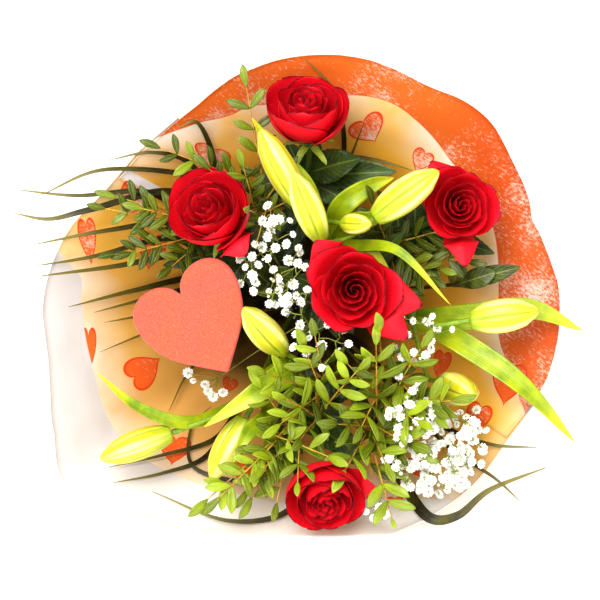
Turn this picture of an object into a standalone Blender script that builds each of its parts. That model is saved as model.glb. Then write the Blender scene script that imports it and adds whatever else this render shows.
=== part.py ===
"""A hand-tied bouquet of red roses, lily buds, gypsophila and green sprays in a paper cone.

The bouquet has its own frame: x to the right, y up and z out of its mouth, as it is seen when one
looks straight into it, with the origin in the middle of the tie. Places there are in millimetres.
One empty, bouquet_frame, lays that frame down, so the bouquet rests on the lower rim of its paper
and on its cut stem ends, with its mouth towards -Y. The world's origin lies on the surface, under
the middle of the bouquet's box.
"""
import math
import random

import bmesh
import bpy
from mathutils import Matrix, Vector
from mathutils.bvhtree import BVHTree

# The bouquet as a whole
MM = 0.001
TILT = math.radians(21.5)       # the bouquet's axis above the surface
STEM_END = -140                 # cut ends, below the tie
MOUTH = 285                     # the paper's rim, above the tie
GATHER = 36                     # the bundle doubles its width over this height above the tie
SPLAY = 115                     # and over this length below it
TWIST = math.radians(-32)       # the turn of the spiral above the tie, and again below it
TWIST_HEIGHT = 45               # over about this height
BUNDLE_GAP = 0.35               # between neighbouring stems in the tie
PACKING_STEPS = 240             # in which the bundle is drawn together
GAP = 0.3                       # between pieces that touch
CLEAR = 0.5                     # kept round a leaf that passes another piece
DEEP = 30                       # no solid is thicker than twice this

# Paper
PAPER = 1.0                     # thickness
PLEATS = 8
PLEAT_DEPTH = 0.07
TAIL = -62                      # the gathered tail's end
SHEET_GAP = 0.6                 # between the two sheets
LIP = 9                         # the lower rim's flat lip on the surface
RIM = [(-219, 0), (-215, -58), (-210, -115), (-202, -155), (-172, -167), (-112, -186), (-55, -200),
       (0, -207), (54, -205), (108, -185), (146, -159), (185, -110), (215, -60), (224, 0), (207, 56),
       (189, 109), (159, 159), (108, 186), (56, 208), (0, 211), (-54, 193), (-95, 163), (-132, 132),
       (-164, 95), (-203, 52)]
COLUMNS = 4 * PLEATS            # facets round the axis, shared by both sheets
ORANGE_SHEET = (-3, 13)         # first and last column, counted round from +x
WHITE_SHEET = (11, 30)
NECK = 3.4                      # half the height of the straight neck in the tie
TIE_WIRE = 2.4                  # radius of the tie's cord

# Rose heads: middle of the head, direction it faces, scale, loose petals (degrees, length, flare)
ROSES = {
    "rose_1": ((7, 155, 302), (-0.03, 0.66, 0.75), 1.10, ()),
    "rose_2": ((-72, 71, 318), (-0.30, 0.38, 0.87), 1.14, ((-48, 1.0, 16),)),
    "rose_3": ((44, 8, 334), (0.02, -0.04, 1.0), 1.18, ((128, 1.15, 15), (-12, 1.2, 20), (-42, 1.2, 22))),
    "rose_4": ((133, 78, 314), (0.10, 0.02, 0.99), 1.00, ((-85, 1.25, 22), (122, 1.1, 16))),
    "rose_5": ((20, -160, 318), (0.06, -0.55, 0.83), 1.04, ((5, 1.05, 14),)),
}
PETALS = 8
HEAD_BELOW = 24                 # from the head's middle down to its base
CORE_RADIUS = (5.0, 9.5)
CORE_HEIGHT = 15
PETAL = 0.9                     # thickness

# Lily buds: (base, tip, widest radius), and the stem that carries each
LILY_BUDS = {
    "lily_bud_1": ("lily_stem_1", (2, 78, 318), (-33, 142, 330), 12.5),
    "lily_bud_2": ("lily_stem_1", (62, 68, 322), (114, 106, 342), 13.5),
    "lily_bud_3": ("lily_stem_1", (36, 64, 316), (58, 62, 342), 8.5),
    "lily_bud_4": ("lily_stem_2", (-108, -112, 306), (-167, -133, 320), 12.5),
    "lily_bud_5": ("lily_stem_2", (-46, -100, 298), (-75, -152, 306), 12.5),
    "lily_bud_6": ("lily_stem_2", (-14, -43, 308), (-46, -7, 355), 12.5),
    "lily_bud_7": ("lily_stem_3", (142, -17, 318), (198, -9, 330), 14.0),
    "lily_bud_8": ("lily_stem_3", (122, -70, 290), (144, -80, 334), 13.0),
    "lily_bud_9": ("lily_stem_1", (18, 50, 322), (-6, 104, 356), 12.0),
}
BUD_SIDES = 9
BUD_RINGS = 4
LILY_NODES = {"lily_stem_1": (26, 50, 268), "lily_stem_2": (-40, -84, 254), "lily_stem_3": (96, -16, 262)}
# Lily leaves: stem, route from the stem to the tip, half width, facing
LILY_LEAVES = [
    ("lily_stem_1", ((26, 50, 266), (4, 96, 300), (-24, 128, 306), (-40, 152, 318)), 8.0, (0.3, 0.3, 1)),
    ("lily_stem_1", ((26, 50, 262), (34, 78, 300), (58, 96, 304), (80, 104, 300)), 9.0, (0, -0.3, 1)),
    ("lily_stem_1", ((26, 50, 258), (48, 46, 296), (82, 40, 330), (124, -4, 336)), 5.0, (0, 0.2, 1)),
    ("lily_stem_2", ((-40, -84, 250), (-92, -104, 300), (-135, -90, 316), (-169, -60, 328)), 5.5,
     (0, 0.4, 1)),
    ("lily_stem_2", ((-40, -84, 206), (-6, -58, 286), (-34, -76, 314), (-80, -106, 320)), 10.0, (1, 0.6, 1)),
    ("lily_stem_2", ((-40, -84, 240), (-28, -98, 288), (-44, -112, 314), (-56, -136, 322)), 7.5,
     (0.3, 0.2, 1)),
    ("lily_stem_3", ((96, -16, 250), (146, -15, 286), (196, -8, 296), (240, -26, 300)), 11.0, (0, 0.1, 1)),
    ("lily_stem_3", ((96, -16, 254), (136, -36, 300), (186, -72, 320), (232, -120, 308)), 9.5, (0.1, 0.1, 1)),
]

# The heart on its stick
HEART_MIDDLE = (-84, -19.5, 329)
HEART_THICK = 7
# Half of the heart's outline, from the notch over a lobe to the point
HEART_HALF = ((0, 28), (3.7, 35.6), (9.5, 40.9), (17.3, 44.3), (27.6, 44.8), (36.7, 41.5), (42.6, 35.8),
              (46.2, 27.2), (46.4, 15), (43.4, 3.1), (38.1, -9), (29.9, -19.8), (15.1, -33.9), (0, -47.5))
HEART_TURN = math.radians(32)
HEART_FACING = (-0.10, 0.06, 1.0)
STICK = 1.8                     # radius

# Grass: bunches of blades, each a list of points (x, y) seen from the mouth, and half width
GRASS = {
    "grass_1": [(((-98, 121), (-128, 127), (-162, 120)), 1.8),
                (((-86, 108), (-164, 111), (-221, 89)), 2.1),
                (((-132, 94), (-190, 89), (-242, 94)), 1.9),
                (((-115, 96), (-180, 77), (-214, 69), (-244, 74)), 2.3),
                (((-111, 70), (-170, 60), (-227, 47)), 2.4),
                (((-120, 56), (-180, 38), (-225, 29)), 2.1),
                (((-72, 104), (-80, 138), (-90, 154), (-104, 148)), 2.0)],
    "grass_2": [(((-94, 45), (-162, 30), (-221, 20)), 2.2),
                (((-98, 22), (-150, 9), (-201, -6)), 2.4),
                (((-103, 11), (-142, 1), (-182, -11)), 1.7),
                (((-100, 0), (-141, -13), (-174, -20)), 1.6),
                (((-98, -16), (-138, -29), (-177, -46)), 1.4),
                (((-90, -50), (-108, -72), (-121, -103)), 1.4)],
    "grass_3": [(((-77, -126), (-122, -138), (-167, -146)), 1.8),
                (((-84, -140), (-120, -152), (-162, -158)), 1.8),
                (((-6, -180), (-60, -190), (-128, -166)), 2.2),
                (((-30, -160), (-92, -150), (-100, -118), (-84, -100)), 1.5)],
    "grass_4": [(((86, -152), (108, -184), (134, -184), (162, -162), (210, -143)), 3.0),
                (((132, -130), (166, -152), (190, -174)), 1.5),
                (((128, -112), (163, -124), (202, -126)), 1.9)],
    "grass_5": [(((40, 132), (36, 169), (26, 188), (3, 208)), 1.6),
                (((38, 110), (46, 130), (57, 158)), 1.5),
                (((18, 112), (36, 131), (70, 128), (102, 118)), 1.8)],
}
GRASS_INWARD = 0.8              # where the sheath aims, against where the blades come into sight
SHEATH_TOP = 40                 # above the tie
GRASS_OVER_RIM = 7              # a blade's height over the rim
GRASS_IN_CONE = 7               # and over the paper's wall inside the cone

# Green sprays: branch end, then leaves as (root, tip, leaflet pairs)
SPRAYS = {
    "spray_1": [((-30, 90, 276), (-46, 184, 306), 4), ((-46, 102, 280), (-120, 128, 322), 4),
                ((-28, 80, 286), (-36, 46, 336), 2)],
    "spray_2": [((-92, 64, 262), (-168, 78, 308), 3), ((-92, 54, 258), (-158, 38, 306), 3)],
    "spray_3": [((-4, -102, 288), (-80, -168, 326), 4), ((0, -108, 296), (-2, -150, 352), 2),
                ((-8, -112, 280), (-42, -168, 318), 2)],
    "spray_4": [((20, -66, 296), (12, -28, 344), 2), ((10, -76, 290), (-30, -60, 336), 2),
                ((18, -78, 292), (-18, -104, 330), 3)],
    "spray_5": [((58, -112, 288), (76, -182, 334), 4), ((56, -102, 286), (96, -124, 324), 2)],
    "spray_6": [((70, -58, 286), (64, -24, 336), 2), ((78, -64, 286), (112, -96, 330), 3),
                ((70, -72, 286), (50, -106, 334), 3)],
    "spray_7": [((78, 40, 264), (120, 26, 300), 3), ((74, 50, 258), (84, 92, 290), 3)],
}
LEAFLET_LENGTH = 17
LEAFLET_WIDTH = 6.6
LEAFLET_FOOT = 2.2              # a leaflet's width where it leaves the rib
LEAFLET_LEAN = math.radians(38)
HALF_RIB = 0.8                  # half the rib's width
LEAF_ARCH = 0.1                 # the rise of the rib's middle, of its length
BLADE = 0.7                     # thickness of leaves and leaflets
FORK_BELOW = 34                 # a branch's fork, below the mean start of its leaves
FORK_CLEAR = 16                 # a branch's leaves may cross one another this near to their fork

# Gypsophila: middle of a cloud of blossoms, its half sizes, and the number of blossoms
CLOUDS = {
    "gypsophila_1": ((-26, 44, 326), (27, 46, 14), 11),
    "gypsophila_2": ((112, -116, 318), (42, 46, 16), 20),
    "gypsophila_3": ((100, -34, 322), (26, 34, 12), 5),
    "gypsophila_4": ((8, -22, 330), (34, 34, 12), 5),
}
BLOSSOM = 4.8                   # radius
BLOSSOM_SPACE = 10.0            # least distance between two
BLOSSOM_TRIES = 1600
TWIG = (0.85, 0.6)              # radii at both ends

# Broad leaves on their own stems, and rose leaves: (node, root on the stem's height, tip, half width)
BROAD_LEAVES = [
    ("broadleaf_1", 258, (168, 24, 286), 9.0), ("broadleaf_1", 252, (136, 34, 292), 8.0),
    ("broadleaf_1", 244, (188, 28, 294), 8.0),
    ("broadleaf_2", 250, (-34, 4, 304), 12.0), ("broadleaf_2", 244, (-6, 26, 290), 10.0),
    ("broadleaf_2", 238, (-48, 34, 284), 10.0),
]
BROAD_STEMS = {"broadleaf_1": (140, 14, 262), "broadleaf_2": (-28, 14, 262)}
ROSE_LEAVES = [
    ("rose_stem_1", 232, (52, 122, 282), 16), ("rose_stem_1", 222, (84, 112, 270), 15),
    ("rose_stem_2", 226, (-120, 30, 262), 12),
    ("rose_stem_3", 236, (88, 58, 300), 14), ("rose_stem_3", 228, (-4, 20, 286), 14),
    ("rose_stem_3", 220, (76, -22, 286), 12), ("rose_stem_4", 232, (168, 40, 280), 12),
    ("rose_stem_5", 226, (60, -136, 280), 12),
]

# Stems: radii at the tie, and heights at which each has a joint of its bar
END_SWELL = 1.1                 # a stem's cut end against its radius in the tie
BEND = 64                       # a rose's stem turns into its head's direction over this height
STEM_HEIGHTS = (STEM_END, 0, 60, 150)
STEM_RADIUS = {"rose": 2.6, "lily": 2.7, "heart": STICK, "grass": 2.5, "spray": 2.3, "gyps": 2.0,
               "broad": 2.3}
COLOURS = {
    "orange sheet": (0.90, 0.32, 0.08), "white sheet": (0.93, 0.90, 0.86), "tie": (0.62, 0.50, 0.30),
    "petals": (0.72, 0.01, 0.03), "rose green": (0.10, 0.20, 0.03), "bud": (0.72, 0.74, 0.08),
    "lily green": (0.33, 0.52, 0.04), "felt": (0.86, 0.21, 0.12), "stick": (0.60, 0.45, 0.25),
    "grass": (0.10, 0.11, 0.02), "spray green": (0.20, 0.36, 0.04), "blossom": (0.93, 0.93, 0.88),
    "broad green": (0.16, 0.22, 0.03),
}


def smooth(share):
    share = min(max(share, 0.0), 1.0)
    return share * share * (3 - 2 * share)


def catmull(points, share):
    """A point on the smooth curve through the given points, at a share of its run."""
    points = [Vector(p) for p in points]
    place = min(max(share, 0.0), 1.0) * (len(points) - 1)
    k = min(int(place), len(points) - 2)
    t = place - k
    b, c = points[k], points[k + 1]
    a = points[k - 1] if k > 0 else 2 * b - c
    d = points[k + 2] if k + 2 < len(points) else 2 * c - b
    return 0.5 * (2 * b + (c - a) * t + (2 * a - 5 * b + 4 * c - d) * t ** 2
                  + (3 * b - a - 3 * c + d) * t ** 3)


# The paper's surface

def rim_radius(angle):
    """Distance of the rim from the axis at an angle, on a smooth curve through the rim's points."""
    polar = sorted((math.atan2(y, x) % math.tau, math.hypot(x, y)) for x, y in RIM)
    angle %= math.tau
    count = len(polar)
    k = max([i for i in range(count) if polar[i][0] <= angle], default=count - 1)
    ring = [polar[(k + j) % count] for j in (-1, 0, 1, 2)]
    span = (ring[2][0] - ring[1][0]) % math.tau
    t = ((angle - ring[1][0]) % math.tau) / span
    r0, r1, r2, r3 = [r for _, r in ring]
    return 0.5 * (2 * r1 + (r2 - r0) * t + (2 * r0 - 5 * r1 + 4 * r2 - r3) * t ** 2
                  + (3 * r1 - r0 - 3 * r2 + r3) * t ** 3)


def cone_share(height):
    """How far the cone has opened at a share of its height: it flares a little at the rim."""
    return 0.86 * height + 0.14 * height ** 4


def paper_radius(angle, z):
    """The paper's distance from the axis, without its pleats."""
    if z < NECK:
        return THROAT * (1 + 0.45 * smooth((z + NECK) / (TAIL + NECK)))
    return THROAT + (rim_radius(angle) - THROAT) * cone_share(min((z - NECK) / (MOUTH - NECK), 1))


def paper_height(x, y):
    """The height of the paper's wall over a point seen from the mouth."""
    angle = math.atan2(y, x)
    reach = math.hypot(x, y)
    low, high = 0.0, float(MOUTH)
    for _ in range(24):
        middle = (low + high) / 2
        if paper_radius(angle, middle) < reach:
            low = middle
        else:
            high = middle
    return low


# Laying the bouquet down

def lay_down():
    """The empty that all parts hang on. It turns the bouquet's frame and lifts it."""
    frame = bpy.data.objects.new("bouquet_frame", None)
    bpy.context.scene.collection.objects.link(frame)
    frame.rotation_euler = (math.pi / 2 - TILT, 0, 0)
    frame.location = (0, 0, stem_lift() * MM)
    bpy.context.view_layer.update()
    return frame


def stem_lift():
    """The tie's height over the surface, with the lowest stem end just on it."""
    lowest = 0.0
    for name, slot in SLOTS.items():
        end = stem_point(slot, Vector((0, 0, MOUTH)), STEM_END)
        radius = stem_radius(name) * END_SWELL
        lowest = min(lowest, end.y * math.cos(TILT) + end.z * math.sin(TILT) - radius)
    return -lowest


# Stems

def stem_radius(name):
    return next(radius for key, radius in STEM_RADIUS.items() if name.startswith(key))


def gather(z):
    return 1 + z / GATHER if z >= 0 else 1 - z / SPLAY


def turned(slot, z):
    angle = TWIST * math.tanh(z / TWIST_HEIGHT)
    x, y = slot
    return Vector((x * math.cos(angle) - y * math.sin(angle), x * math.sin(angle) + y * math.cos(angle)))


def stem_point(slot, head, z):
    """A stem's place at a height: its slot's place in the spiral, drawn towards its head."""
    own = turned(slot, z) * gather(z)
    if z <= 0:
        return Vector((own.x, own.y, z))
    miss = head.xy - turned(slot, head.z) * gather(head.z)
    own += miss * z / head.z
    return Vector((own.x, own.y, z))


def bundle(heads):
    """Each stem's place in the tie: where its straight run would pass, drawn together without overlap."""
    names = list(heads)
    places = [turned((heads[n].x, heads[n].y), -heads[n].z) / gather(heads[n].z) for n in names]
    radii = [stem_radius(n) for n in names]
    for step in range(PACKING_STEPS):
        if step < PACKING_STEPS * 0.7:
            places = [place * 0.98 for place in places]
        for i in range(len(names)):
            for j in range(i):
                apart = places[i] - places[j]
                short = radii[i] + radii[j] + BUNDLE_GAP - apart.length
                if short > 0:
                    push = apart.normalized() * short / 2
                    places[i] += push
                    places[j] -= push
    return {n: tuple(place) for n, place in zip(names, places)}


def stem_heads():
    """The point that each stem runs to."""
    heads = {}
    for name, (middle, facing, scale, _) in ROSES.items():
        base = Vector(middle) - Vector(facing).normalized() * HEAD_BELOW * scale
        heads[name.replace("rose", "rose_stem")] = base
    heads.update({name: Vector(place) for name, place in LILY_NODES.items()})
    heads["heart_stick"] = Vector(HEART_MIDDLE)
    for name, leaves in SPRAYS.items():
        heads[name] = sum((Vector(root) for root, _, _ in leaves), Vector()) / len(leaves)
    for name, (middle, half, _) in CLOUDS.items():
        heads[name] = Vector(middle) - Vector((0, 0, 54))
    heads.update({name: Vector(place) for name, place in BROAD_STEMS.items()})
    for name, blades in GRASS.items():
        middle = sum((Vector(points[0]) for points, _ in blades), Vector((0, 0))) / len(blades)
        heads[name] = Vector((*middle * GRASS_INWARD, MOUTH))
    return heads


HEADS = stem_heads()
SLOTS = bundle(HEADS)
BUNDLE = max(math.hypot(*place) * gather(NECK) + stem_radius(name) for name, place in SLOTS.items())
THROAT = (BUNDLE + GAP + PAPER) / (1 - PLEAT_DEPTH)     # the paper's radius in the tie
ROUTES = {}                     # each stem's middle line, once it is built


def stem_route(name, top, facing=None):
    """Points of a stem from its cut end to its top, the last ones turning into the head's direction."""
    head = HEADS[name]
    slot = SLOTS[name]
    points = [stem_point(slot, head, z) for z in STEM_HEIGHTS]
    ROUTES[name] = points
    if not facing:
        points.append(stem_point(slot, head, top.z))
        return points
    start = stem_point(slot, head, top.z - BEND)
    below = stem_point(slot, head, top.z - BEND - 10)
    lean = (start - below).normalized() * BEND * 0.45
    into = Vector(facing).normalized() * BEND * 0.45
    run = [start, start + lean, top - into, top]
    for step in range(3):
        t = step / 2
        points.append((1 - t) ** 3 * run[0] + 3 * t * (1 - t) ** 2 * run[1]
                      + 3 * t * t * (1 - t) * run[2] + t ** 3 * run[3])
    return points


def on_stem(name, z):
    """The point of a stem's middle line at a height."""
    for low, high in zip(ROUTES[name], ROUTES[name][1:]):
        if low.z <= z <= high.z:
            return low.lerp(high, (z - low.z) / (high.z - low.z))
    return ROUTES[name][-1].copy()


# Meshes

def new_mesh(bm):
    mesh = bpy.data.meshes.new("shape")
    bm.to_mesh(mesh)
    bm.free()
    return mesh


def temporary(mesh, collection=None):
    piece = bpy.data.objects.new("shape", mesh)
    (collection or bpy.context.scene.collection).objects.link(piece)
    return piece


def evaluated(piece):
    """The object's mesh with its modifiers, as plain data; the object itself is removed."""
    graph = bpy.context.evaluated_depsgraph_get()
    mesh = bpy.data.meshes.new_from_object(piece.evaluated_get(graph), depsgraph=graph)
    bpy.data.objects.remove(piece)
    return mesh


def tube(points, radii):
    """A six-sided bar along the points, in millimetres, with a radius at each, and filled ends."""
    curve = bpy.data.curves.new("shape", "CURVE")
    curve.dimensions = "3D"
    curve.bevel_depth = MM
    curve.bevel_resolution = 1
    curve.use_fill_caps = True
    spline = curve.splines.new("POLY")
    spline.points.add(len(points) - 1)
    for place, point, radius in zip(spline.points, points, radii):
        place.co = (*(Vector(point) * MM), 1)
        place.radius = radius
    mesh = evaluated(temporary(curve))
    bpy.data.curves.remove(curve)
    bm = bmesh.new()
    bm.from_mesh(mesh)
    bmesh.ops.remove_doubles(bm, verts=bm.verts, dist=0.00001)
    bmesh.ops.recalc_face_normals(bm, faces=bm.faces)
    return new_mesh(bm)


def sheet(bm, thickness):
    """An open surface with every face split the same way on both sides, given a thickness."""
    bmesh.ops.triangulate(bm, faces=bm.faces)
    piece = temporary(new_mesh(bm))
    solidify = piece.modifiers.new("thickness", "SOLIDIFY")
    solidify.thickness = thickness * MM
    solidify.offset = 0
    return evaluated(piece)


def ribbon(route, half_width, facing, rows=5, fold=0.25, tip=0.14, root=0.3, teeth=0.0):
    """A leaf along a route: a strip with a middle rib, widest before the middle, narrow at both ends."""
    across = 1 if fold == 0 else 2
    bm = bmesh.new()
    bmesh.ops.create_grid(bm, x_segments=across, y_segments=rows, size=1)
    facing = Vector(facing).normalized()
    for vert in bm.verts:
        side, share = vert.co.x, (vert.co.y + 1) / 2
        along = (catmull(route, share + 0.02) - catmull(route, share - 0.02)).normalized()
        wide = along.cross(facing).normalized()
        up = wide.cross(along)
        lens = root + (1 - root) * smooth(share / 0.4) if share < 0.4 else 1.0
        lens *= tip + (1 - tip) * math.cos(math.pi / 2 * smooth((share - 0.3) / 0.7)) if share > 0.3 else 1.0
        step = round(share * rows)
        if teeth and 0 < step < rows:
            lens *= 1 + teeth * (1 if step % 2 else -1)
        reach = half_width * lens
        vert.co = (catmull(route, share) + wide * side * reach + up * abs(side) * reach * fold) * MM
    return sheet(bm, BLADE)


def pinnate(fork, root, tip, pairs):
    """A leaf of paired leaflets on a thin rib from a fork, in one plate, with a leaflet at its tip."""
    fork, root, tip = Vector(fork), Vector(root), Vector(tip)
    bare = (root - fork).length
    leafy = (tip - root).length
    length = bare + leafy
    run = (fork, root, root.lerp(tip, 0.5) + Vector((0, 0, leafy * LEAF_ARCH)), tip)
    size = min(LEAFLET_LENGTH, leafy * 0.4)
    wide = (tip - root).cross(Vector((0, 0, 1))).normalized()
    first = bare + 1
    pitch = (leafy - size * 0.5) / pairs
    bm = bmesh.new()

    def place(along, side, lift=0.0):
        share = along / bare / 3 if along < bare else (1 + 2 * (along - bare) / leafy) / 3
        forward = (catmull(run, min(share, 0.97) + 0.03) - catmull(run, min(share, 0.97) - 0.03)).normalized()
        up = wide.cross(forward)
        beyond = max(along - length, 0)
        return bm.verts.new((catmull(run, share) + forward * beyond + wide * side + up * lift) * MM)

    def leaflet(base_a, base_b, along, side, scale, lean):
        reach = size * scale
        half = LEAFLET_WIDTH * scale / 2
        axis = Vector((math.sin(lean), math.cos(lean) * side)) if side else Vector((1, 0))
        cross = Vector((axis.y, -axis.x)) * (side or 1)
        points = []
        for run, wide in ((0.45, 1.0), (1.0, 0.0), (0.55, -1.0)):
            spot = axis * reach * run + cross * half * wide
            points.append(place(along + spot.x, spot.y + side * HALF_RIB, reach * 0.16 * run * run))
        bm.faces.new([base_a, points[0], points[2], base_b])
        bm.faces.new([points[0], points[1], points[2]])

    stations = [0.0, bare * 0.5]
    for pair in range(pairs):
        stations += [first + pitch * pair, first + pitch * pair + LEAFLET_FOOT]
    stations.append(length - size * 0.5)
    left = [place(s, -HALF_RIB) for s in stations]
    right = [place(s, HALF_RIB) for s in stations]
    for k in range(len(stations) - 1):
        bm.faces.new([left[k], left[k + 1], right[k + 1], right[k]])
    for pair in range(pairs):
        k = 2 + 2 * pair
        scale = 1.0 - 0.25 * abs(pair / pairs - 0.45)
        for verts, side in ((left, -1), (right, 1)):
            leaflet(verts[k + 1], verts[k], stations[k] + LEAFLET_FOOT / 2, side, scale, LEAFLET_LEAN)
    leaflet(left[-1], right[-1], stations[-1], 0, 1.0, 0)
    bmesh.ops.recalc_face_normals(bm, faces=bm.faces)
    return sheet(bm, BLADE)


# Pieces that pass each other

class Room:
    """Every node's pieces so far, so that a new piece is only taken where it clears other nodes."""

    def __init__(self):
        self.pieces = {}
        self.trees = {}

    def tree(self, mesh, grow=0.0):
        bm = bmesh.new()
        bm.from_mesh(mesh)
        bm.normal_update()
        for vert in bm.verts:
            vert.co += vert.normal * grow * MM
        found = BVHTree.FromBMesh(bm)
        bm.free()
        return found

    def hit(self, node, mesh):
        """The first node that the piece, grown by the clearance, would touch."""
        probe = self.tree(mesh, CLEAR)
        middle = mesh.vertices[len(mesh.vertices) // 2].co
        for other, trees in self.trees.items():
            if other == node:
                continue
            for tree in trees:
                if tree.overlap(probe):
                    return other
                near, normal, _, _ = tree.find_nearest(middle)
                if (middle - near).dot(normal) < 0 and (middle - near).length < DEEP * MM:
                    return other
        return None

    def add(self, node, mesh):
        self.pieces.setdefault(node, []).append(mesh)
        self.trees.setdefault(node, []).append(self.tree(mesh))

    def try_add(self, node, meshes):
        """Takes the first of the meshes that clears all other nodes, or none."""
        clear = [mesh for mesh in meshes if self.hit(node, mesh) is None]
        if clear:
            self.add(node, clear[0])


ROOM = Room()


def material(name):
    found = bpy.data.materials.get(name)
    if found is None:
        found = bpy.data.materials.new(name)
        found.use_nodes = True
        shader = found.node_tree.nodes["Principled BSDF"]
        shader.inputs["Base Color"].default_value = (*COLOURS[name], 1)
        shader.inputs["Roughness"].default_value = 0.9 if name in ("felt", "tie") else 0.55
        shader.inputs["Metallic"].default_value = 0.0
    return found


def finish(name, meshes, colour, place=None):
    """One named object from its pieces, joined by a single Boolean union and hung on the empty."""
    piece = temporary(meshes[0])
    if len(meshes) > 1:
        group = bpy.data.collections.new("joined")
        bpy.context.scene.collection.children.link(group)
        for mesh in meshes[1:]:
            temporary(mesh, group)
        union = piece.modifiers.new("join", "BOOLEAN")
        union.operand_type = "COLLECTION"
        union.collection = group
        union.operation = "UNION"
        union.solver = "EXACT"
        mesh = evaluated(piece)
        for member in list(group.objects):
            bpy.data.objects.remove(member)
        bpy.data.collections.remove(group)
    else:
        mesh = evaluated(piece)
    mesh.name = name
    mesh.materials.clear()
    mesh.materials.append(material(colour))
    mesh.shade_smooth()
    mesh.set_sharp_from_angle(angle=math.radians(50))
    node = bpy.data.objects.new(name, mesh)
    PARTS.objects.link(node)
    node.parent = FRAME
    if place:
        node.matrix_local = place
    return node


# The pieces

def facing_matrix(place, facing, spin=0.0):
    """A place and turn whose z runs along facing and whose x lies level, turned by spin about z."""
    z_axis = Vector(facing).normalized()
    x_axis = Vector((0, 1, 0)).cross(z_axis)
    if x_axis.length < 0.01:
        x_axis = Vector((1, 0, 0))
    x_axis.normalize()
    turn = Matrix((x_axis, z_axis.cross(x_axis), z_axis)).transposed().to_4x4()
    return Matrix.Translation(Vector(place) * MM) @ turn @ Matrix.Rotation(spin, 4, "Z")


def paper_sheet(name, span, layer, colour):
    """One wrapping sheet: part of the pleated cone, with its lower rim laid flat on the surface."""
    start, end = (math.tau * column / COLUMNS for column in span)
    columns = span[1] - span[0]
    heights = [TAIL, -NECK, NECK, 50, 115, 180, 240, MOUTH, MOUTH + LIP]
    bm = bmesh.new()
    bmesh.ops.create_grid(bm, x_segments=columns, y_segments=len(heights) - 1, size=1)
    to_world = FRAME.matrix_world
    to_local = to_world.inverted()
    for vert in bm.verts:
        angle = start + (end - start) * (vert.co.x + 1) / 2
        z = heights[round((vert.co.y + 1) / 2 * (len(heights) - 1))]
        fold = PLEAT_DEPTH * (1 - smooth(z / 150)) if z > 0 else PLEAT_DEPTH
        slope = (paper_radius(angle, z + 2) - paper_radius(angle, z - 2)) / 4 if z < MOUTH else 1.0
        radius = paper_radius(angle, z) * (1 + fold * math.cos(PLEATS * angle)) + layer * math.hypot(1, slope)
        if z > MOUTH:
            below = smooth((math.sin(angle) + 0.75) / -0.2)
            z = MOUTH + 1.5 + (LIP - 1.5) * below
            radius += (z - MOUTH) * 0.25
        flat = Vector((radius * math.cos(angle), radius * math.sin(angle), z)) * MM
        world = to_world @ flat
        if world.z < layer_floor(layer):
            world.z = layer_floor(layer)
        vert.co = to_local @ world
    bmesh.ops.triangulate(bm, faces=bm.faces, quad_method="FIXED")
    bmesh.ops.recalc_face_normals(bm, faces=bm.faces)
    if sum(f.normal.dot(f.calc_center_median().xy.to_3d()) for f in bm.faces) < 0:
        bmesh.ops.reverse_faces(bm, faces=bm.faces)
    piece = temporary(new_mesh(bm))
    solidify = piece.modifiers.new("thickness", "SOLIDIFY")
    solidify.thickness = PAPER * MM
    solidify.offset = -1
    mesh = evaluated(piece)
    ROOM.add(name, mesh)
    finish(name, [mesh.copy()], colour)


def layer_floor(layer):
    """The outer sheet lies on the surface, the inner one on the outer one."""
    return 0.0 if layer > 0 else (PAPER + SHEET_GAP) * MM


def tie_cord():
    """Two turns of cord round the gathered paper, as one band."""
    bm = bmesh.new()
    around, ring = COLUMNS, 4
    outer = PAPER + SHEET_GAP + 0.5 + TIE_WIRE * math.cos(math.pi / ring)
    rows = []
    for k in range(around):
        angle = math.tau * k / around
        middle = THROAT * (1 + PLEAT_DEPTH * math.cos(PLEATS * angle)) + outer
        rows.append([])
        for j in range(ring):
            turn = math.tau * (j + 0.5) / ring
            radius = middle + TIE_WIRE * math.cos(turn)
            z = TIE_WIRE * 1.6 * math.sin(turn)
            corner = Vector((radius * math.cos(angle), radius * math.sin(angle), z))
            rows[-1].append(bm.verts.new(corner * MM))
    for k in range(around):
        for j in range(ring):
            a, b = rows[k], rows[(k + 1) % around]
            bm.faces.new([a[j], b[j], b[(j + 1) % ring], a[(j + 1) % ring]])
    bmesh.ops.recalc_face_normals(bm, faces=bm.faces)
    mesh = new_mesh(bm)
    ROOM.add("tie_cord", mesh)
    finish("tie_cord", [mesh.copy()], "tie")


def petal(middle, layer, wide, scale, rise=1.0, flare=None):
    """One rose petal: a patch of its layer's cup, from the core to its rounded lip."""
    bm = bmesh.new()
    bmesh.ops.create_grid(bm, x_segments=4, y_segments=2, size=1)
    mid_radius = 5.5 + 20 * layer
    root_radius = 4
    low = max(11.5 * (1 - layer), 0) + 1.0
    high = 47 - 11 * layer
    flare = 9 * layer ** 2 if flare is None else flare
    for vert in bm.verts:
        across, up = vert.co.x, (vert.co.y + 1) / 2
        t = up * (1 - 0.2 * abs(across) ** 2.5 * up)
        spread = wide / 2 * (0.55 + 0.45 * math.sin(math.pi * min(t + 0.12, 1)))
        angle = middle + across * spread
        radius = root_radius + (mid_radius - root_radius) * (1 - (1 - t) ** 2.2) + flare * t ** 4
        z = low + (high - low) * t * rise - 0.25 * flare * t ** 6
        vert.co = Vector((radius * math.cos(angle), radius * math.sin(angle), z)) * MM * scale
    bmesh.ops.recalc_face_normals(bm, faces=bm.faces)
    return sheet(bm, PETAL)


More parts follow.
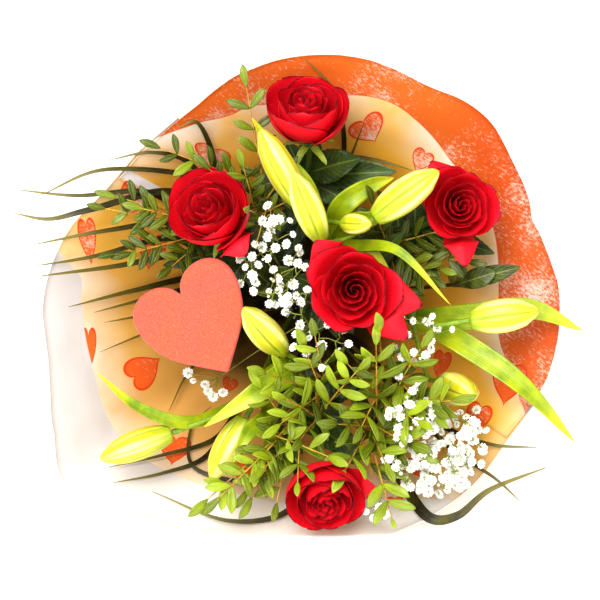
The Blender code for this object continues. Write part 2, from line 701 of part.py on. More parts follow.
def rose_head(name, middle, facing, scale, loose):
    """A rose head about its own axis: a core, a tight heart of petals and wider ones round it."""
    core = bmesh.new()
    bmesh.ops.create_cone(core, cap_ends=True, segments=6, radius1=CORE_RADIUS[0] * MM * scale,
                          radius2=CORE_RADIUS[1] * MM * scale, depth=CORE_HEIGHT * MM * scale,
                          matrix=Matrix.Translation((0, 0, CORE_HEIGHT / 2 * MM * scale)))
    meshes = [new_mesh(core)]
    golden = math.radians(137.5)
    for k in range(PETALS):
        layer = (k + 0.3) / (PETALS - 0.7)
        wide = math.radians(170 - 50 * layer)
        meshes.append(petal(k * golden, layer, wide, scale))
    for degrees, reach, flare in loose:
        meshes.append(petal(math.radians(degrees), 1.16, math.radians(75), scale, reach * 0.82, flare))
    base = Vector(middle) - Vector(facing).normalized() * HEAD_BELOW * scale
    place = facing_matrix(base, facing)
    node = finish(name, meshes, "petals", place=place)
    seen = node.data.copy()
    seen.transform(place)
    ROOM.add(name, seen)


def rose_stem(name):
    """A rose's stem with the hip and sepals under its head."""
    middle, facing, scale, _ = ROSES[name.replace("rose_stem", "rose")]
    facing = Vector(facing).normalized()
    base = Vector(middle) - facing * HEAD_BELOW * scale
    hip_depth = 9 * scale
    route = stem_route(name, base - facing * (hip_depth * 0.6 + GAP), facing)
    radii = [2.6 * END_SWELL] + [2.6] * (len(route) - 2) + [2.2]
    hip = bmesh.new()
    place = facing_matrix(base - facing * (GAP + hip_depth / 2), facing)
    bmesh.ops.create_cone(hip, cap_ends=True, segments=6, radius1=2.9 * MM * scale,
                          radius2=5.0 * MM * scale, depth=hip_depth * MM, matrix=place)
    ROOM.add(name, tube(route, radii))
    ROOM.add(name, new_mesh(hip))
    turn = place.to_3x3()
    for k in range(5):
        angle = math.tau * (k + 0.3) / 5
        out = turn @ Vector((math.cos(angle), math.sin(angle), 0))
        start = base - facing * (GAP + 2.6 + 0.3 * k)
        drop = 5 + 3 * (k % 2)
        route = (start + out * 2, start + out * 10 - facing * 1.5, start + out * 20 - facing * drop)
        ROOM.try_add(name, [ribbon(route, 3.0 * scale, facing, rows=1, fold=0, root=0.9, tip=0.25)])


def bud(name, base, tip, radius):
    """A closed lily bud: three broad petals that meet in ridges, from its blunt base to its tip."""
    base, tip = Vector(base), Vector(tip)
    length = (tip - base).length
    bm = bmesh.new()
    bmesh.ops.create_cone(bm, cap_ends=True, segments=BUD_SIDES, radius1=1, radius2=1, depth=1)
    for ring in range(1, BUD_RINGS):
        bmesh.ops.bisect_plane(bm, geom=bm.verts[:] + bm.edges[:] + bm.faces[:], dist=1e-7,
                               plane_co=(0, 0, ring / BUD_RINGS - 0.5), plane_no=(0, 0, 1))
    for vert in bm.verts:
        share = vert.co.z + 0.5
        angle = math.atan2(vert.co.y, vert.co.x)
        body = 0.24 + 0.76 * math.sin(math.pi * min(share * 0.86 + 0.10, 1)) ** 0.8
        if share > 0.8:
            body *= 1 - 0.42 * ((share - 0.8) / 0.2)
        size = radius * body * (1 + 0.09 * math.cos(3 * angle))
        vert.co = Vector((size * math.cos(angle), size * math.sin(angle), share * length)) * MM
    mesh = new_mesh(bm)
    place = facing_matrix(base, tip - base)
    node = finish(name, [mesh], "bud", place=place)
    seen = node.data.copy()
    seen.transform(place)
    ROOM.add(name, seen)


def lily_stem(name):
    """A lily's stem to its node, with a pedicel up to each of its buds."""
    node = Vector(LILY_NODES[name])
    route = stem_route(name, node)
    ROOM.add(name, tube(route, [2.7 * END_SWELL] + [2.7] * (len(route) - 1)))
    for stem, base, tip, radius in LILY_BUDS.values():
        if stem != name:
            continue
        base, tip = Vector(base), Vector(tip)
        into = (tip - base).normalized()
        end = base - into * GAP
        rise = (end - node).length
        run = (node - Vector((0, 0, 3)), node + Vector((0, 0, rise * 0.35)), end - into * rise * 0.4, end)
        points = [catmull(run, k / 3) for k in range(4)]
        points[-1] = end
        ROOM.add(name, tube(points, [2.1, 2.0, 1.9, 2.3]))


def heart():
    """The felt heart: a flat outline with round lobes and full sides, and thickness."""
    outline = [Vector((x, y, 0)) for x, y in HEART_HALF]
    outline += [Vector((-x, y, 0)) for x, y in reversed(HEART_HALF[1:-1])]
    curve = bpy.data.curves.new("shape", "CURVE")
    curve.dimensions = "2D"
    curve.fill_mode = "BOTH"
    curve.extrude = HEART_THICK / 2 * MM
    spline = curve.splines.new("POLY")
    spline.points.add(len(outline) - 1)
    for place, point in zip(spline.points, outline):
        place.co = (*(point * MM), 1)
    spline.use_cyclic_u = True
    mesh = evaluated(temporary(curve))
    bm = bmesh.new()
    bm.from_mesh(mesh)
    bmesh.ops.remove_doubles(bm, verts=bm.verts, dist=0.00001)
    bmesh.ops.recalc_face_normals(bm, faces=bm.faces)
    place = facing_matrix(HEART_MIDDLE, HEART_FACING, HEART_TURN)
    node = finish("heart", [new_mesh(bm)], "felt", place=place)
    seen = node.data.copy()
    seen.transform(place)
    ROOM.add("heart", seen)


def heart_stick():
    """A thin wooden stick up to the middle of the heart's back."""
    facing = Vector(HEART_FACING).normalized()
    top = Vector(HEART_MIDDLE) - facing * (HEART_THICK / 2 + 2 * GAP)
    route = stem_route("heart_stick", top, facing)
    ROOM.add("heart_stick", tube(route, [STICK] * len(route)))


def grass_bunch(name):
    """Thin blades from one sheath, up the inside of the paper and out over its rim."""
    head = HEADS[name]
    slot = SLOTS[name]
    sheath = [stem_point(slot, head, z) for z in (STEM_END, 0, SHEATH_TOP)]
    ROUTES[name] = sheath
    ROOM.add(name, tube(sheath, [2.5 * END_SWELL, 2.5, 2.0]))
    for points, half_width in GRASS[name]:
        choices = []
        for lift in (0, 2, 4, 7, -3, 10, 16, 22, 30):
            route = [on_stem(name, SHEATH_TOP - 12)]
            first = Vector((*points[0], 0))
            for share in (0.38, 0.7):
                flat = route[0].lerp(first, share)
                over = GRASS_IN_CONE + lift * share
                route.append(Vector((flat.x, flat.y, paper_height(flat.x, flat.y) + over)))
            for k, (x, y) in enumerate(points):
                over = GRASS_IN_CONE + lift
                if math.hypot(x, y) > rim_radius(math.atan2(y, x)) * 0.9:
                    over = GRASS_OVER_RIM + lift
                route.append(Vector((x, y, paper_height(x, y) + over)))
            choices.append(ribbon(route, half_width, (0, 0, 1), rows=5, fold=0, tip=0.2, root=0.5))
        ROOM.try_add(name, choices)


def lily_leaves():
    for name, route, half_width, facing in LILY_LEAVES:
        choices = []
        for lift in (0, 5, -5, 10, -10, 16):
            moved = [Vector(p) + Vector((0, 0, lift * k / 3)) for k, p in enumerate(route)]
            moved[0] = on_stem(name, route[0][2])
            choices.append(ribbon(moved, half_width, facing, rows=4))
        ROOM.try_add(name, choices)


def leafy_tree(leaf, fork):
    """The faces of a leaf that lie well away from its fork."""
    bm = bmesh.new()
    bm.from_mesh(leaf)
    near = [v for v in bm.verts if (v.co / MM - fork).length < FORK_CLEAR]
    bmesh.ops.delete(bm, geom=near, context="VERTS")
    found = BVHTree.FromBMesh(bm)
    bm.free()
    return found


def plain_stem(name, top, radii):
    """A stem that only carries leaves or twigs: a four-sided bar up to its top."""
    route = [stem_point(SLOTS[name], HEADS[name], z) for z in (*STEM_HEIGHTS, top)]
    ROUTES[name] = route
    ROOM.add(name, tube(route, [radii[0] * END_SWELL, *radii]))


def spray(name):
    """The leaves of a branch, of paired leaflets, that spread from its fork."""
    fork = ROUTES[name][-1]
    own = []
    for root, tip, pairs in SPRAYS[name]:
        choices = []
        for tries in range(14):
            shift = Vector((0, 0, (0, 6, -6, 12, -12, 18, 24)[tries % 7]))
            side = (0, 0.25)[tries // 7]
            start, end = Vector(root), Vector(tip) + shift
            across = (end - start).cross(Vector((0, 0, 1))).normalized() * side * 30
            choices.append(pinnate(on_stem(name, fork.z - 5), start, end + across, pairs))
        for leaf in choices:
            beyond = leafy_tree(leaf, fork)
            if ROOM.hit(name, leaf) is None and not any(tree.overlap(beyond) for tree in own):
                ROOM.add(name, leaf)
                own.append(beyond)
                break


def blossom(place, radius, turn):
    """A small ragged double blossom: a low ball with raised and sunk sides."""
    bm = bmesh.new()
    bmesh.ops.create_uvsphere(bm, u_segments=6, v_segments=2, radius=radius * MM)
    for vert in bm.verts:
        angle = math.atan2(vert.co.y, vert.co.x)
        if vert.co.xy.length > 1e-6:
            vert.co.xy *= 1 + 0.16 * math.cos(3 * angle)
        vert.co.z *= 0.85
    bmesh.ops.rotate(bm, verts=bm.verts, matrix=Matrix.Rotation(turn, 3, "Z") @ Matrix.Rotation(0.4, 3, "X"))
    bmesh.ops.translate(bm, verts=bm.verts, vec=Vector(place) * MM)
    return new_mesh(bm)


def twig_bar(start, end):
    """A thin three-sided twig between two points."""
    run = Vector(end) - Vector(start)
    bm = bmesh.new()
    bmesh.ops.create_cone(bm, cap_ends=True, segments=3, radius1=TWIG[0] * MM, radius2=TWIG[1] * MM,
                          depth=run.length * MM)
    bmesh.ops.transform(bm, verts=bm.verts, matrix=facing_matrix((Vector(start) + Vector(end)) / 2, run))
    return new_mesh(bm)


def gypsophila(name):
    """A loose cloud of blossoms on thin twigs that fork from one stem."""
    middle, half, count = CLOUDS[name]
    rng = random.Random(name)
    taken = []
    joints = [ROUTES[name][-1]]
    attempts = 0
    while len(taken) < count and attempts < BLOSSOM_TRIES:
        attempts += 1
        offset = Vector([rng.uniform(-1, 1) for _ in range(3)])
        if offset.xy.length > 1:
            continue
        place = Vector(middle) + Vector([offset[i] * half[i] for i in range(3)])
        if any((place - other).length < BLOSSOM_SPACE for other in taken):
            continue
        start = min(joints, key=lambda joint: (joint - place).length + 0.6 * abs(joint.z + 24 - place.z))
        size = BLOSSOM * rng.uniform(0.8, 1.1)
        flower = blossom(place, size, rng.uniform(0, 3))
        twig = twig_bar(start, place)
        if ROOM.hit(name, flower) is None and ROOM.hit(name, twig) is None:
            ROOM.add(name, twig)
            ROOM.add(name, flower)
            taken.append(place)
            joints.append(start.lerp(place, 0.55))


def stem_leaf(name, z, tip, half_width, teeth):
    """A leaf that leaves its stem at a height and arches to its tip."""
    root = on_stem(name, z)
    choices = []
    for lift in (0, 6, -6, 12, -12, 18, -20):
        for slim in (1.0, 0.75):
            end = Vector(tip) + Vector((0, 0, lift))
            middle = root.lerp(end, 0.5) + Vector((0, 0, 9))
            choices.append(ribbon((root, middle, end), half_width * slim, (0, 0, 1), rows=4, teeth=teeth))
    ROOM.try_add(name, choices)


# Building

for old in list(bpy.data.objects):
    bpy.data.objects.remove(old)
PARTS = bpy.data.collections.new("flower_bouquet")
bpy.context.scene.collection.children.link(PARTS)
CUTTERS = bpy.data.collections.new("cutters")
bpy.context.scene.collection.children.link(CUTTERS)
FRAME = lay_down()

paper_sheet("paper_orange_edge", ORANGE_SHEET, 0.0, "orange sheet")
paper_sheet("paper_white_edge", WHITE_SHEET, PAPER + SHEET_GAP, "white sheet")
tie_cord()
for rose, values in ROSES.items():
    rose_head(rose, *values)
for lily, (_, *values) in LILY_BUDS.items():
    bud(lily, *values)
heart()
for rose in ROSES:
    rose_stem(rose.replace("rose", "rose_stem"))
for lily in LILY_NODES:
    lily_stem(lily)
heart_stick()
for branch in BROAD_STEMS:
    plain_stem(branch, HEADS[branch].z, (2.3, 2.3, 2.1, 1.6))
for branch in SPRAYS:
    plain_stem(branch, HEADS[branch].z - FORK_BELOW, (2.3, 2.2, 1.9, 1.6))
for cloud in CLOUDS:
    plain_stem(cloud, HEADS[cloud].z, (2.0, 1.8, 1.4, 1.1))
for bunch in GRASS:
    grass_bunch(bunch)
lily_leaves()
for branch in SPRAYS:
    spray(branch)
for cloud in CLOUDS:
    gypsophila(cloud)
for leaf in BROAD_LEAVES:
    stem_leaf(*leaf, 0.0)
for leaf in ROSE_LEAVES:
    stem_leaf(*leaf, 0.12)

NODE_COLOURS = {"rose_stem": "rose green", "lily_stem": "lily green", "heart_stick": "stick",
                "grass": "grass", "spray": "spray green", "gypsophila": "blossom",
                "broadleaf": "broad green"}
for key, colour in NODE_COLOURS.items():
    for node in [n for n in ROOM.pieces if n.startswith(key)]:
        finish(node, ROOM.pieces[node], colour)

# The origin: on the surface, under the middle of the bouquet's box
bpy.context.view_layer.update()
corners = [node.matrix_world @ vert.co for node in PARTS.objects for vert in node.data.vertices]
for axis in (0, 1):
    reach = [corner[axis] for corner in corners]
    FRAME.location[axis] -= (min(reach) + max(reach)) / 2
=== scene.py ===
"""The looks of a wrapped, hand-tied bouquet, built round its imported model.

Every shape is worked out in the bouquet's own frame: x to the right, y up and z out of its mouth, in
millimetres, with the origin in the middle of the tie. TO_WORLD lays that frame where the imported
model lies. Places in the photograph are pixels of its 600 by 600 frame, seen along the z axis.
"""
import math
import random

import bmesh
import bpy
import numpy as np
from bpy.props import FloatProperty, FloatVectorProperty, IntProperty, PointerProperty
from mathutils import Matrix, Vector
from mathutils.bvhtree import BVHTree


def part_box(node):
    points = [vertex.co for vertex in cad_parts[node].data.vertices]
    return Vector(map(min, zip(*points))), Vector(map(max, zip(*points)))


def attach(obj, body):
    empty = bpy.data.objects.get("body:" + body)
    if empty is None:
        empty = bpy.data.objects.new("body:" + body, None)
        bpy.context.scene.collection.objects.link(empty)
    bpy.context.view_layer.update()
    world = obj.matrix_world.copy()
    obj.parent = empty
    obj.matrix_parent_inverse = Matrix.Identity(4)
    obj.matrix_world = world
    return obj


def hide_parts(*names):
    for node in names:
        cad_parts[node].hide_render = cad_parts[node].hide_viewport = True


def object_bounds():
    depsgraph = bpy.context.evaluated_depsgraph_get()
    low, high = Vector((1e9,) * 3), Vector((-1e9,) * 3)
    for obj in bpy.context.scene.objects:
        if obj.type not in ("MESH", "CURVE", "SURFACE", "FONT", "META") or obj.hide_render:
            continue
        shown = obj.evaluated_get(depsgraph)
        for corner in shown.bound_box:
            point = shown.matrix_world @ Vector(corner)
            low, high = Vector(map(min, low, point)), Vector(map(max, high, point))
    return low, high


bl_info = {
    "name": "Wrapped bouquet",
    "version": (1, 0, 0),
    "blender": (4, 5, 0),
    "location": "3D View > Sidebar > Bouquet",
    "description": "Builds a hand-tied bouquet in printed wrapping paper, piece by piece",
    "category": "Add Mesh",
}

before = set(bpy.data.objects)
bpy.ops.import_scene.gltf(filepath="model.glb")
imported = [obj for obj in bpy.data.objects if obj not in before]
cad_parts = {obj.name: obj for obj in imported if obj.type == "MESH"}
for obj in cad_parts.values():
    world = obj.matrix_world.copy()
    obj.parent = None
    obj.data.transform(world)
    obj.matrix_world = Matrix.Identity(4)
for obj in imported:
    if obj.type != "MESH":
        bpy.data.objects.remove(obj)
CAD_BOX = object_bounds()

# The bouquet's frame, and its main sizes in millimetres
MM = 0.001
TILT = math.radians(21.5)       # the bouquet's axis above the surface
TIE_LOW, TIE_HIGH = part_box("tie_cord")
TIE_MIDDLE = (TIE_LOW + TIE_HIGH) / 2
TO_WORLD = (Matrix.Translation(TIE_MIDDLE) @ Matrix.Rotation(math.pi / 2 - TILT, 4, "X")
            @ Matrix.Scale(MM, 4))
TO_LOCAL = TO_WORLD.inverted()
STEM_END = -140                 # cut ends, below the tie
MOUTH = 285                     # the paper's rim, above the tie
GATHER = 36                     # the bundle doubles its width over this height above the tie
SPLAY = 115                     # and over this length below it
TWIST = math.radians(-32)       # the turn of the spiral above the tie, and again below it
TWIST_HEIGHT = 45               # over about this height
BUNDLE_GAP = 0.35               # between neighbouring stems in the tie
PACKING_STEPS = 240             # in which the bundle is drawn together
DRAWING_STEPS = 168             # those of them that draw every stem inwards
DRAWN_IN = 0.98                 # what one such step leaves of a stem's distance
GAP = 0.3                       # between pieces that touch
END_SWELL = 1.1                 # a stem's cut end, against the stem
BEND = 64                       # a stem turns into its rose's or heart's direction over this height
STEM_HEIGHTS = (STEM_END, 0, 60, 150)
STEM_RADIUS = {"rose": 2.6, "lily": 2.7, "heart": 1.8, "grass": 2.5, "spray": 2.3, "gyps": 2.0,
               "broad": 2.3}

# The view along the axis
EYE = 1500                      # the camera's height above the tie
SEEN_AT = 285                   # the height at which a pixel is MM_PER_PIXEL wide
MM_PER_PIXEL = 0.86
PHOTO = 600                     # pixels across the photograph

# The stage in metres, with the key light in the bouquet's own directions
FLOOR_HALF = 9
SENSOR = 36                     # width of the camera's sensor, in millimetres
KEY_PLACE = (-0.35, 0.45, 1.75)
KEY_AIM = (0, 0, 0.3)
KEY_SIZE = 1.1
SUN_SPREAD = math.radians(40)
SUN_TURN = (math.radians(28), math.radians(-14), 0)

# Paper
PLEATS = 8
PLEAT_DEPTH = 0.07
TAIL = -62                      # the gathered tail's end
CAD_PAPER = 1.0                 # thickness of a packed sheet
SHEET_GAP = 0.6                 # between the two sheets
LIP = 9                         # the lower rim's flat lip on the surface
NECK = 3.4                      # half the height of the straight neck in the tie
COLUMN = math.tau / (4 * PLEATS)
ORANGE_SHEET = (-3, 13)         # first and last column, counted round from +x
WHITE_SHEET = (11, 30)
SHEET_COLUMNS = 12              # faces across a column
SHEET_ROWS = (12, 84)           # rows below and above the tie
RIM = [(-219, 0), (-215, -58), (-210, -115), (-202, -155), (-172, -167), (-112, -186), (-55, -200),
       (0, -207), (54, -205), (108, -185), (146, -159), (185, -110), (215, -60), (224, 0), (207, 56),
       (189, 109), (159, 159), (108, 186), (56, 208), (0, 211), (-54, 193), (-95, 163), (-132, 132),
       (-164, 95), (-203, 52)]
# Where the kraft middle meets the printed border, in the photograph
KRAFT_EDGE = [(499, 300), (499, 268), (493, 226), (476, 190), (453, 163), (434, 138), (415, 119),
              (396, 105), (373, 97), (344, 95), (300, 98), (268, 104), (249, 106), (230, 115),
              (204, 121), (158, 137), (100, 170), (52, 215), (60, 255), (80, 276), (81, 297), (84, 329),
              (94, 373), (101, 401), (109, 420), (119, 437), (142, 458), (172, 473), (230, 493),
              (249, 497), (300, 505), (352, 511), (367, 501), (420, 499), (472, 497), (500, 484),
              (534, 440), (528, 422), (520, 400), (506, 358), (499, 335)]
# Printed hearts: middle, half width, half height and turn in the photograph
HEARTS = [(88, 242, 9, 24, -8), (88, 352, 8, 24, 0), (145, 369, 17, 19, -127), (174, 451, 16, 15, 10),
          (229, 386, 8, 8, 20), (369, 130, 19, 14, -30), (421, 161, 11, 12, 30), (508, 385, 17, 22, 12),
          (477, 420, 13, 17, 20), (441, 366, 9, 15, 15), (416, 467, 14, 11, -20), (211, 156, 19, 10, 20),
          (133, 200, 16, 18, 24), (151, 252, 14, 19, 10), (265, 172, 11, 9, -15), (243, 475, 12, 10, 30),
          (395, 504, 9, 7, 0)]

# The tie: two turns of cord, each of three twisted strands
CORD_GAP = 0.5                  # between the paper and the cord
CORD = 1.7                      # radius
CORD_LEVEL = 1.95               # of each turn, above or below the tie's middle
CORD_TWISTS = 26
CORD_POINTS = 420
STRAND = 0.95                   # radius
STRAND_REACH = 0.85             # from the cord's middle line

# Rose heads: middle, direction it faces, scale, how open, loose petals (degrees, length, flare)
ROSES = {
    "rose_1": ((7, 155, 302), (-0.03, 0.66, 0.75), 1.10, 0.1, ()),
    "rose_2": ((-72, 71, 318), (-0.30, 0.38, 0.87), 1.14, 0.2, ((-48, 1.0, 16),)),
    "rose_3": ((44, 8, 334), (0.02, -0.04, 1.0), 1.18, 0.8,
               ((128, 1.15, 15), (-12, 1.2, 20), (-42, 1.2, 22))),
    "rose_4": ((133, 78, 314), (0.10, 0.02, 0.99), 1.00, 0.6, ((-85, 1.25, 22), (122, 1.1, 16))),
    "rose_5": ((20, -160, 318), (0.06, -0.55, 0.83), 1.04, 0.1, ((5, 1.05, 14),)),
}
HEAD_BELOW = 24                 # from the head's middle down to its base
GOLDEN = math.radians(137.5)    # from one petal to the next
THORN_HEIGHTS = range(-125, 190, 34)

# Lily buds: stem, base, tip, widest radius. Leaves: stem, route, half width, facing
LILY_BUDS = {
    "lily_bud_1": ("lily_stem_1", (2, 78, 318), (-33, 142, 330), 12.5),
    "lily_bud_2": ("lily_stem_1", (62, 68, 322), (114, 106, 342), 13.5),
    "lily_bud_3": ("lily_stem_1", (36, 64, 316), (58, 62, 342), 8.5),
    "lily_bud_4": ("lily_stem_2", (-108, -112, 306), (-167, -133, 320), 12.5),
    "lily_bud_5": ("lily_stem_2", (-46, -100, 298), (-75, -152, 306), 12.5),
    "lily_bud_6": ("lily_stem_2", (-14, -43, 308), (-46, -7, 355), 12.5),
    "lily_bud_7": ("lily_stem_3", (142, -17, 318), (198, -9, 330), 14.0),
    "lily_bud_8": ("lily_stem_3", (122, -70, 290), (144, -80, 334), 13.0),
    "lily_bud_9": ("lily_stem_1", (18, 50, 322), (-6, 104, 356), 12.0),
}
LILY_NODES = {"lily_stem_1": (26, 50, 268), "lily_stem_2": (-40, -84, 254), "lily_stem_3": (96, -16, 262)}
LILY_LEAVES = [
    ("lily_stem_1", ((26, 50, 266), (4, 96, 300), (-24, 128, 306), (-40, 152, 318)), 8.0, (0.3, 0.3, 1)),
    ("lily_stem_1", ((26, 50, 262), (34, 78, 300), (58, 96, 304), (80, 104, 300)), 9.0, (0, -0.3, 1)),
    ("lily_stem_1", ((26, 50, 258), (48, 46, 296), (82, 40, 330), (124, -4, 336)), 5.0, (0, 0.2, 1)),
    ("lily_stem_1", ((26, 50, 256), (44, 66, 300), (62, 70, 312), (84, 92, 308)), 8.0, (0.2, -0.3, 1)),
    ("lily_stem_1", ((26, 50, 250), (44, 44, 292), (60, 40, 304), (78, 22, 300)), 7.0, (0, 0.2, 1)),
    ("lily_stem_2", ((-40, -84, 250), (-92, -104, 300), (-135, -90, 316), (-169, -60, 328)), 5.5,
     (0, 0.4, 1)),
    ("lily_stem_2", ((-40, -84, 206), (-6, -58, 286), (-34, -76, 314), (-80, -106, 320)), 11.5, (1, 0.6, 1)),
    ("lily_stem_2", ((-40, -84, 240), (-28, -98, 288), (-44, -112, 314), (-56, -136, 322)), 7.5,
     (0.3, 0.2, 1)),
    ("lily_stem_3", ((96, -16, 250), (146, -15, 286), (196, -8, 296), (240, -26, 300)), 11.0, (0, 0.1, 1)),
    ("lily_stem_3", ((96, -16, 254), (136, -36, 300), (186, -72, 320), (232, -120, 308)), 9.5, (0.1, 0.1, 1)),
]
EXTRA_LILY_LEAVES = (3, 4)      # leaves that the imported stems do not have
LILY_LIFTS = (0, 5, -5, 10, -10, 16)                # steps by which a leaf's tip may have been moved

# The felt heart
HEART_MIDDLE = (-84, -19.5, 329)
HEART_THICK = 7
# Half of the heart's outline, from the notch over a lobe to the point
HEART_HALF = ((0, 28), (3.7, 35.6), (9.5, 40.9), (17.3, 44.3), (27.6, 44.8), (36.7, 41.5), (42.6, 35.8),
              (46.2, 27.2), (46.4, 15), (43.4, 3.1), (38.1, -9), (29.9, -19.8), (15.1, -33.9), (0, -47.5))
HEART_TURN = math.radians(32)
HEART_FACING = (-0.10, 0.06, 1.0)

# Grass: bunches of blades, each a list of points seen from the mouth, and half width
GRASS = {
    "grass_1": [(((-98, 121), (-128, 127), (-162, 120)), 1.8),
                (((-86, 108), (-164, 111), (-221, 89)), 2.1),
                (((-132, 94), (-190, 89), (-242, 94)), 1.9),
                (((-115, 96), (-180, 77), (-214, 69), (-244, 74)), 2.3),
                (((-111, 70), (-170, 60), (-227, 47)), 2.4),
                (((-120, 56), (-180, 38), (-225, 29)), 2.1),
                (((-72, 104), (-80, 138), (-90, 154), (-104, 148)), 2.0)],
    "grass_2": [(((-94, 45), (-162, 30), (-221, 20)), 2.7),
                (((-98, 22), (-150, 9), (-201, -6)), 2.7),
                (((-103, 11), (-142, 1), (-182, -11)), 2.1),
                (((-100, 0), (-141, -13), (-174, -20)), 1.6),
                (((-98, -16), (-138, -29), (-177, -46)), 1.4),
                (((-90, -50), (-108, -72), (-121, -103)), 1.4)],
    "grass_3": [(((-77, -126), (-122, -138), (-167, -146)), 1.8),
                (((-84, -140), (-120, -152), (-162, -158)), 1.8),
                (((-6, -180), (-60, -190), (-128, -166)), 2.2),
                (((-30, -160), (-92, -150), (-100, -118), (-84, -100)), 1.5)],
    "grass_4": [(((86, -152), (108, -184), (134, -184), (162, -162), (210, -143)), 3.0),
                (((132, -130), (166, -152), (190, -174)), 1.5),
                (((128, -112), (163, -124), (202, -126)), 1.9)],
    "grass_5": [(((40, 132), (36, 169), (26, 188), (3, 208)), 1.6),
                (((38, 110), (46, 130), (57, 158)), 1.5),
                (((18, 112), (36, 131), (70, 128), (102, 118)), 1.8)],
}
GRASS_INWARD = 0.8              # where a sheath aims, against where its blades come into sight
BROAD_BLADE = 2.8               # blades above this half width are wide and pale
SHEATH_TOP = 40                 # above the tie
GRASS_OVER_RIM = 7              # a blade's height over the rim
GRASS_IN_CONE = 7               # and over the paper's wall inside the cone
GRASS_LIFTS = (0, 2, 4, 7, -3, 10, 16, 22, 30)      # steps by which a blade may have been moved

# Green sprays: leaves as (root, tip, leaflet pairs)
SPRAYS = {
    "spray_1": [((-30, 90, 276), (-46, 184, 306), 4), ((-46, 102, 280), (-120, 128, 322), 4),
                ((-28, 80, 286), (-36, 46, 336), 2)],
    "spray_2": [((-92, 64, 262), (-168, 78, 308), 3), ((-92, 54, 258), (-158, 38, 306), 3)],
    "spray_3": [((-4, -102, 288), (-80, -168, 326), 4), ((0, -108, 296), (-2, -150, 352), 2),
                ((-8, -112, 280), (-42, -168, 318), 2)],
    "spray_4": [((20, -66, 296), (12, -28, 344), 2), ((10, -76, 290), (-30, -60, 336), 2),
                ((18, -78, 292), (-18, -104, 330), 3)],
    "spray_5": [((58, -112, 288), (76, -182, 334), 4), ((56, -102, 286), (96, -124, 324), 2)],
    "spray_6": [((70, -58, 286), (64, -24, 336), 2), ((78, -64, 286), (112, -96, 330), 3),
                ((70, -72, 286), (50, -106, 334), 3)],
    "spray_7": [((78, 40, 264), (120, 26, 300), 3), ((74, 50, 258), (84, 92, 290), 3)],
}
FORK_BELOW = 34                 # a spray's stem forks this far below its leaves
RIB_LIFTS = (0, 6, -6, 12, -12, 18, 24)             # steps by which a packed leaf's tip may have been moved
MORE_LIFTS = (0, -8, 8, -16, 16, -26)               # and those tried for the other leaves
# More leaves of the sprays: (root, tip) as pixel, pixel, height in millimetres, and leaflet pairs
MORE_LEAVES = {
    "spray_1": [((255, 208, 284), (243, 166, 322), 4), ((262, 206, 286), (288, 166, 328), 4),
                ((258, 214, 290), (248, 210, 350), 1), ((262, 214, 286), (296, 196, 322), 3),
                ((250, 208, 280), (208, 168, 314), 4)],
    "spray_2": [((212, 226, 262), (140, 208, 305), 5), ((208, 234, 262), (128, 254, 305), 5),
                ((204, 240, 260), (170, 268, 300), 4), ((208, 222, 262), (112, 196, 304), 5)],
    "spray_3": [((290, 426, 292), (260, 386, 334), 3), ((279, 437, 306), (217, 500, 334), 5),
                ((288, 436, 284), (246, 492, 320), 4), ((292, 440, 286), (262, 470, 334), 3),
                ((290, 440, 280), (276, 506, 318), 4), ((270, 430, 296), (332, 458, 352), 3)],
    "spray_4": [((320, 409, 290), (360, 368, 342), 4), ((325, 400, 286), (304, 346, 334), 3),
                ((318, 414, 288), (284, 398, 336), 2), ((316, 416, 286), (300, 440, 344), 2)],
    "spray_5": [((366, 430, 288), (344, 472, 334), 3), ((370, 430, 288), (386, 464, 328), 3),
                ((372, 425, 284), (336, 424, 330), 3), ((368, 436, 284), (372, 480, 322), 3),
                ((374, 430, 284), (410, 444, 322), 3)],
    "spray_6": [((376, 409, 288), (376, 342, 346), 4), ((380, 400, 290), (346, 362, 338), 3),
                ((397, 407, 290), (454, 400, 342), 5), ((390, 395, 286), (422, 346, 330), 3),
                ((384, 402, 288), (420, 422, 338), 3)],
    "spray_7": [((390, 245, 270), (442, 230, 306), 4), ((392, 250, 268), (432, 278, 304), 4),
                ((386, 246, 268), (372, 202, 300), 3), ((392, 252, 264), (470, 262, 300), 4),
                ((388, 256, 262), (408, 304, 298), 4)],
}

# Gypsophila: middle of a cloud, its half sizes, and the number of blossoms
CLOUDS = {
    "gypsophila_1": ((-26, 44, 326), (33, 58, 14), 38),
    "gypsophila_2": ((112, -116, 318), (46, 50, 18), 150),
    "gypsophila_3": ((100, -34, 322), (30, 38, 12), 16),
    "gypsophila_4": ((8, -22, 330), (36, 36, 12), 17),
}
CLOUD_BELOW = 54                # a cloud's twigs fork this far below its middle
DENSE_CLOUD = 100               # a cloud of more blossoms is dense
BLOSSOM_APART = (5.6, 9.5)      # between blossoms, in a dense and in a loose cloud
BLOSSOM_CLEAR = (6.0, 8.5)      # and from the other flowers
BLOSSOM_TRIES = 9000

# Single blossoms on longer twigs, as pixel, pixel and height in millimetres
SINGLE_BLOSSOMS = {
    "gypsophila_2": [(366, 512, 322), (373, 518, 320), (380, 508, 322), (385, 514, 320)],
    "gypsophila_4": [(188, 373, 262), (193, 381, 262), (208, 391, 268), (213, 397, 266), (223, 393, 268),
                     (205, 384, 270)],
}
SINGLE_TWIG = 232               # where their twigs leave the stem

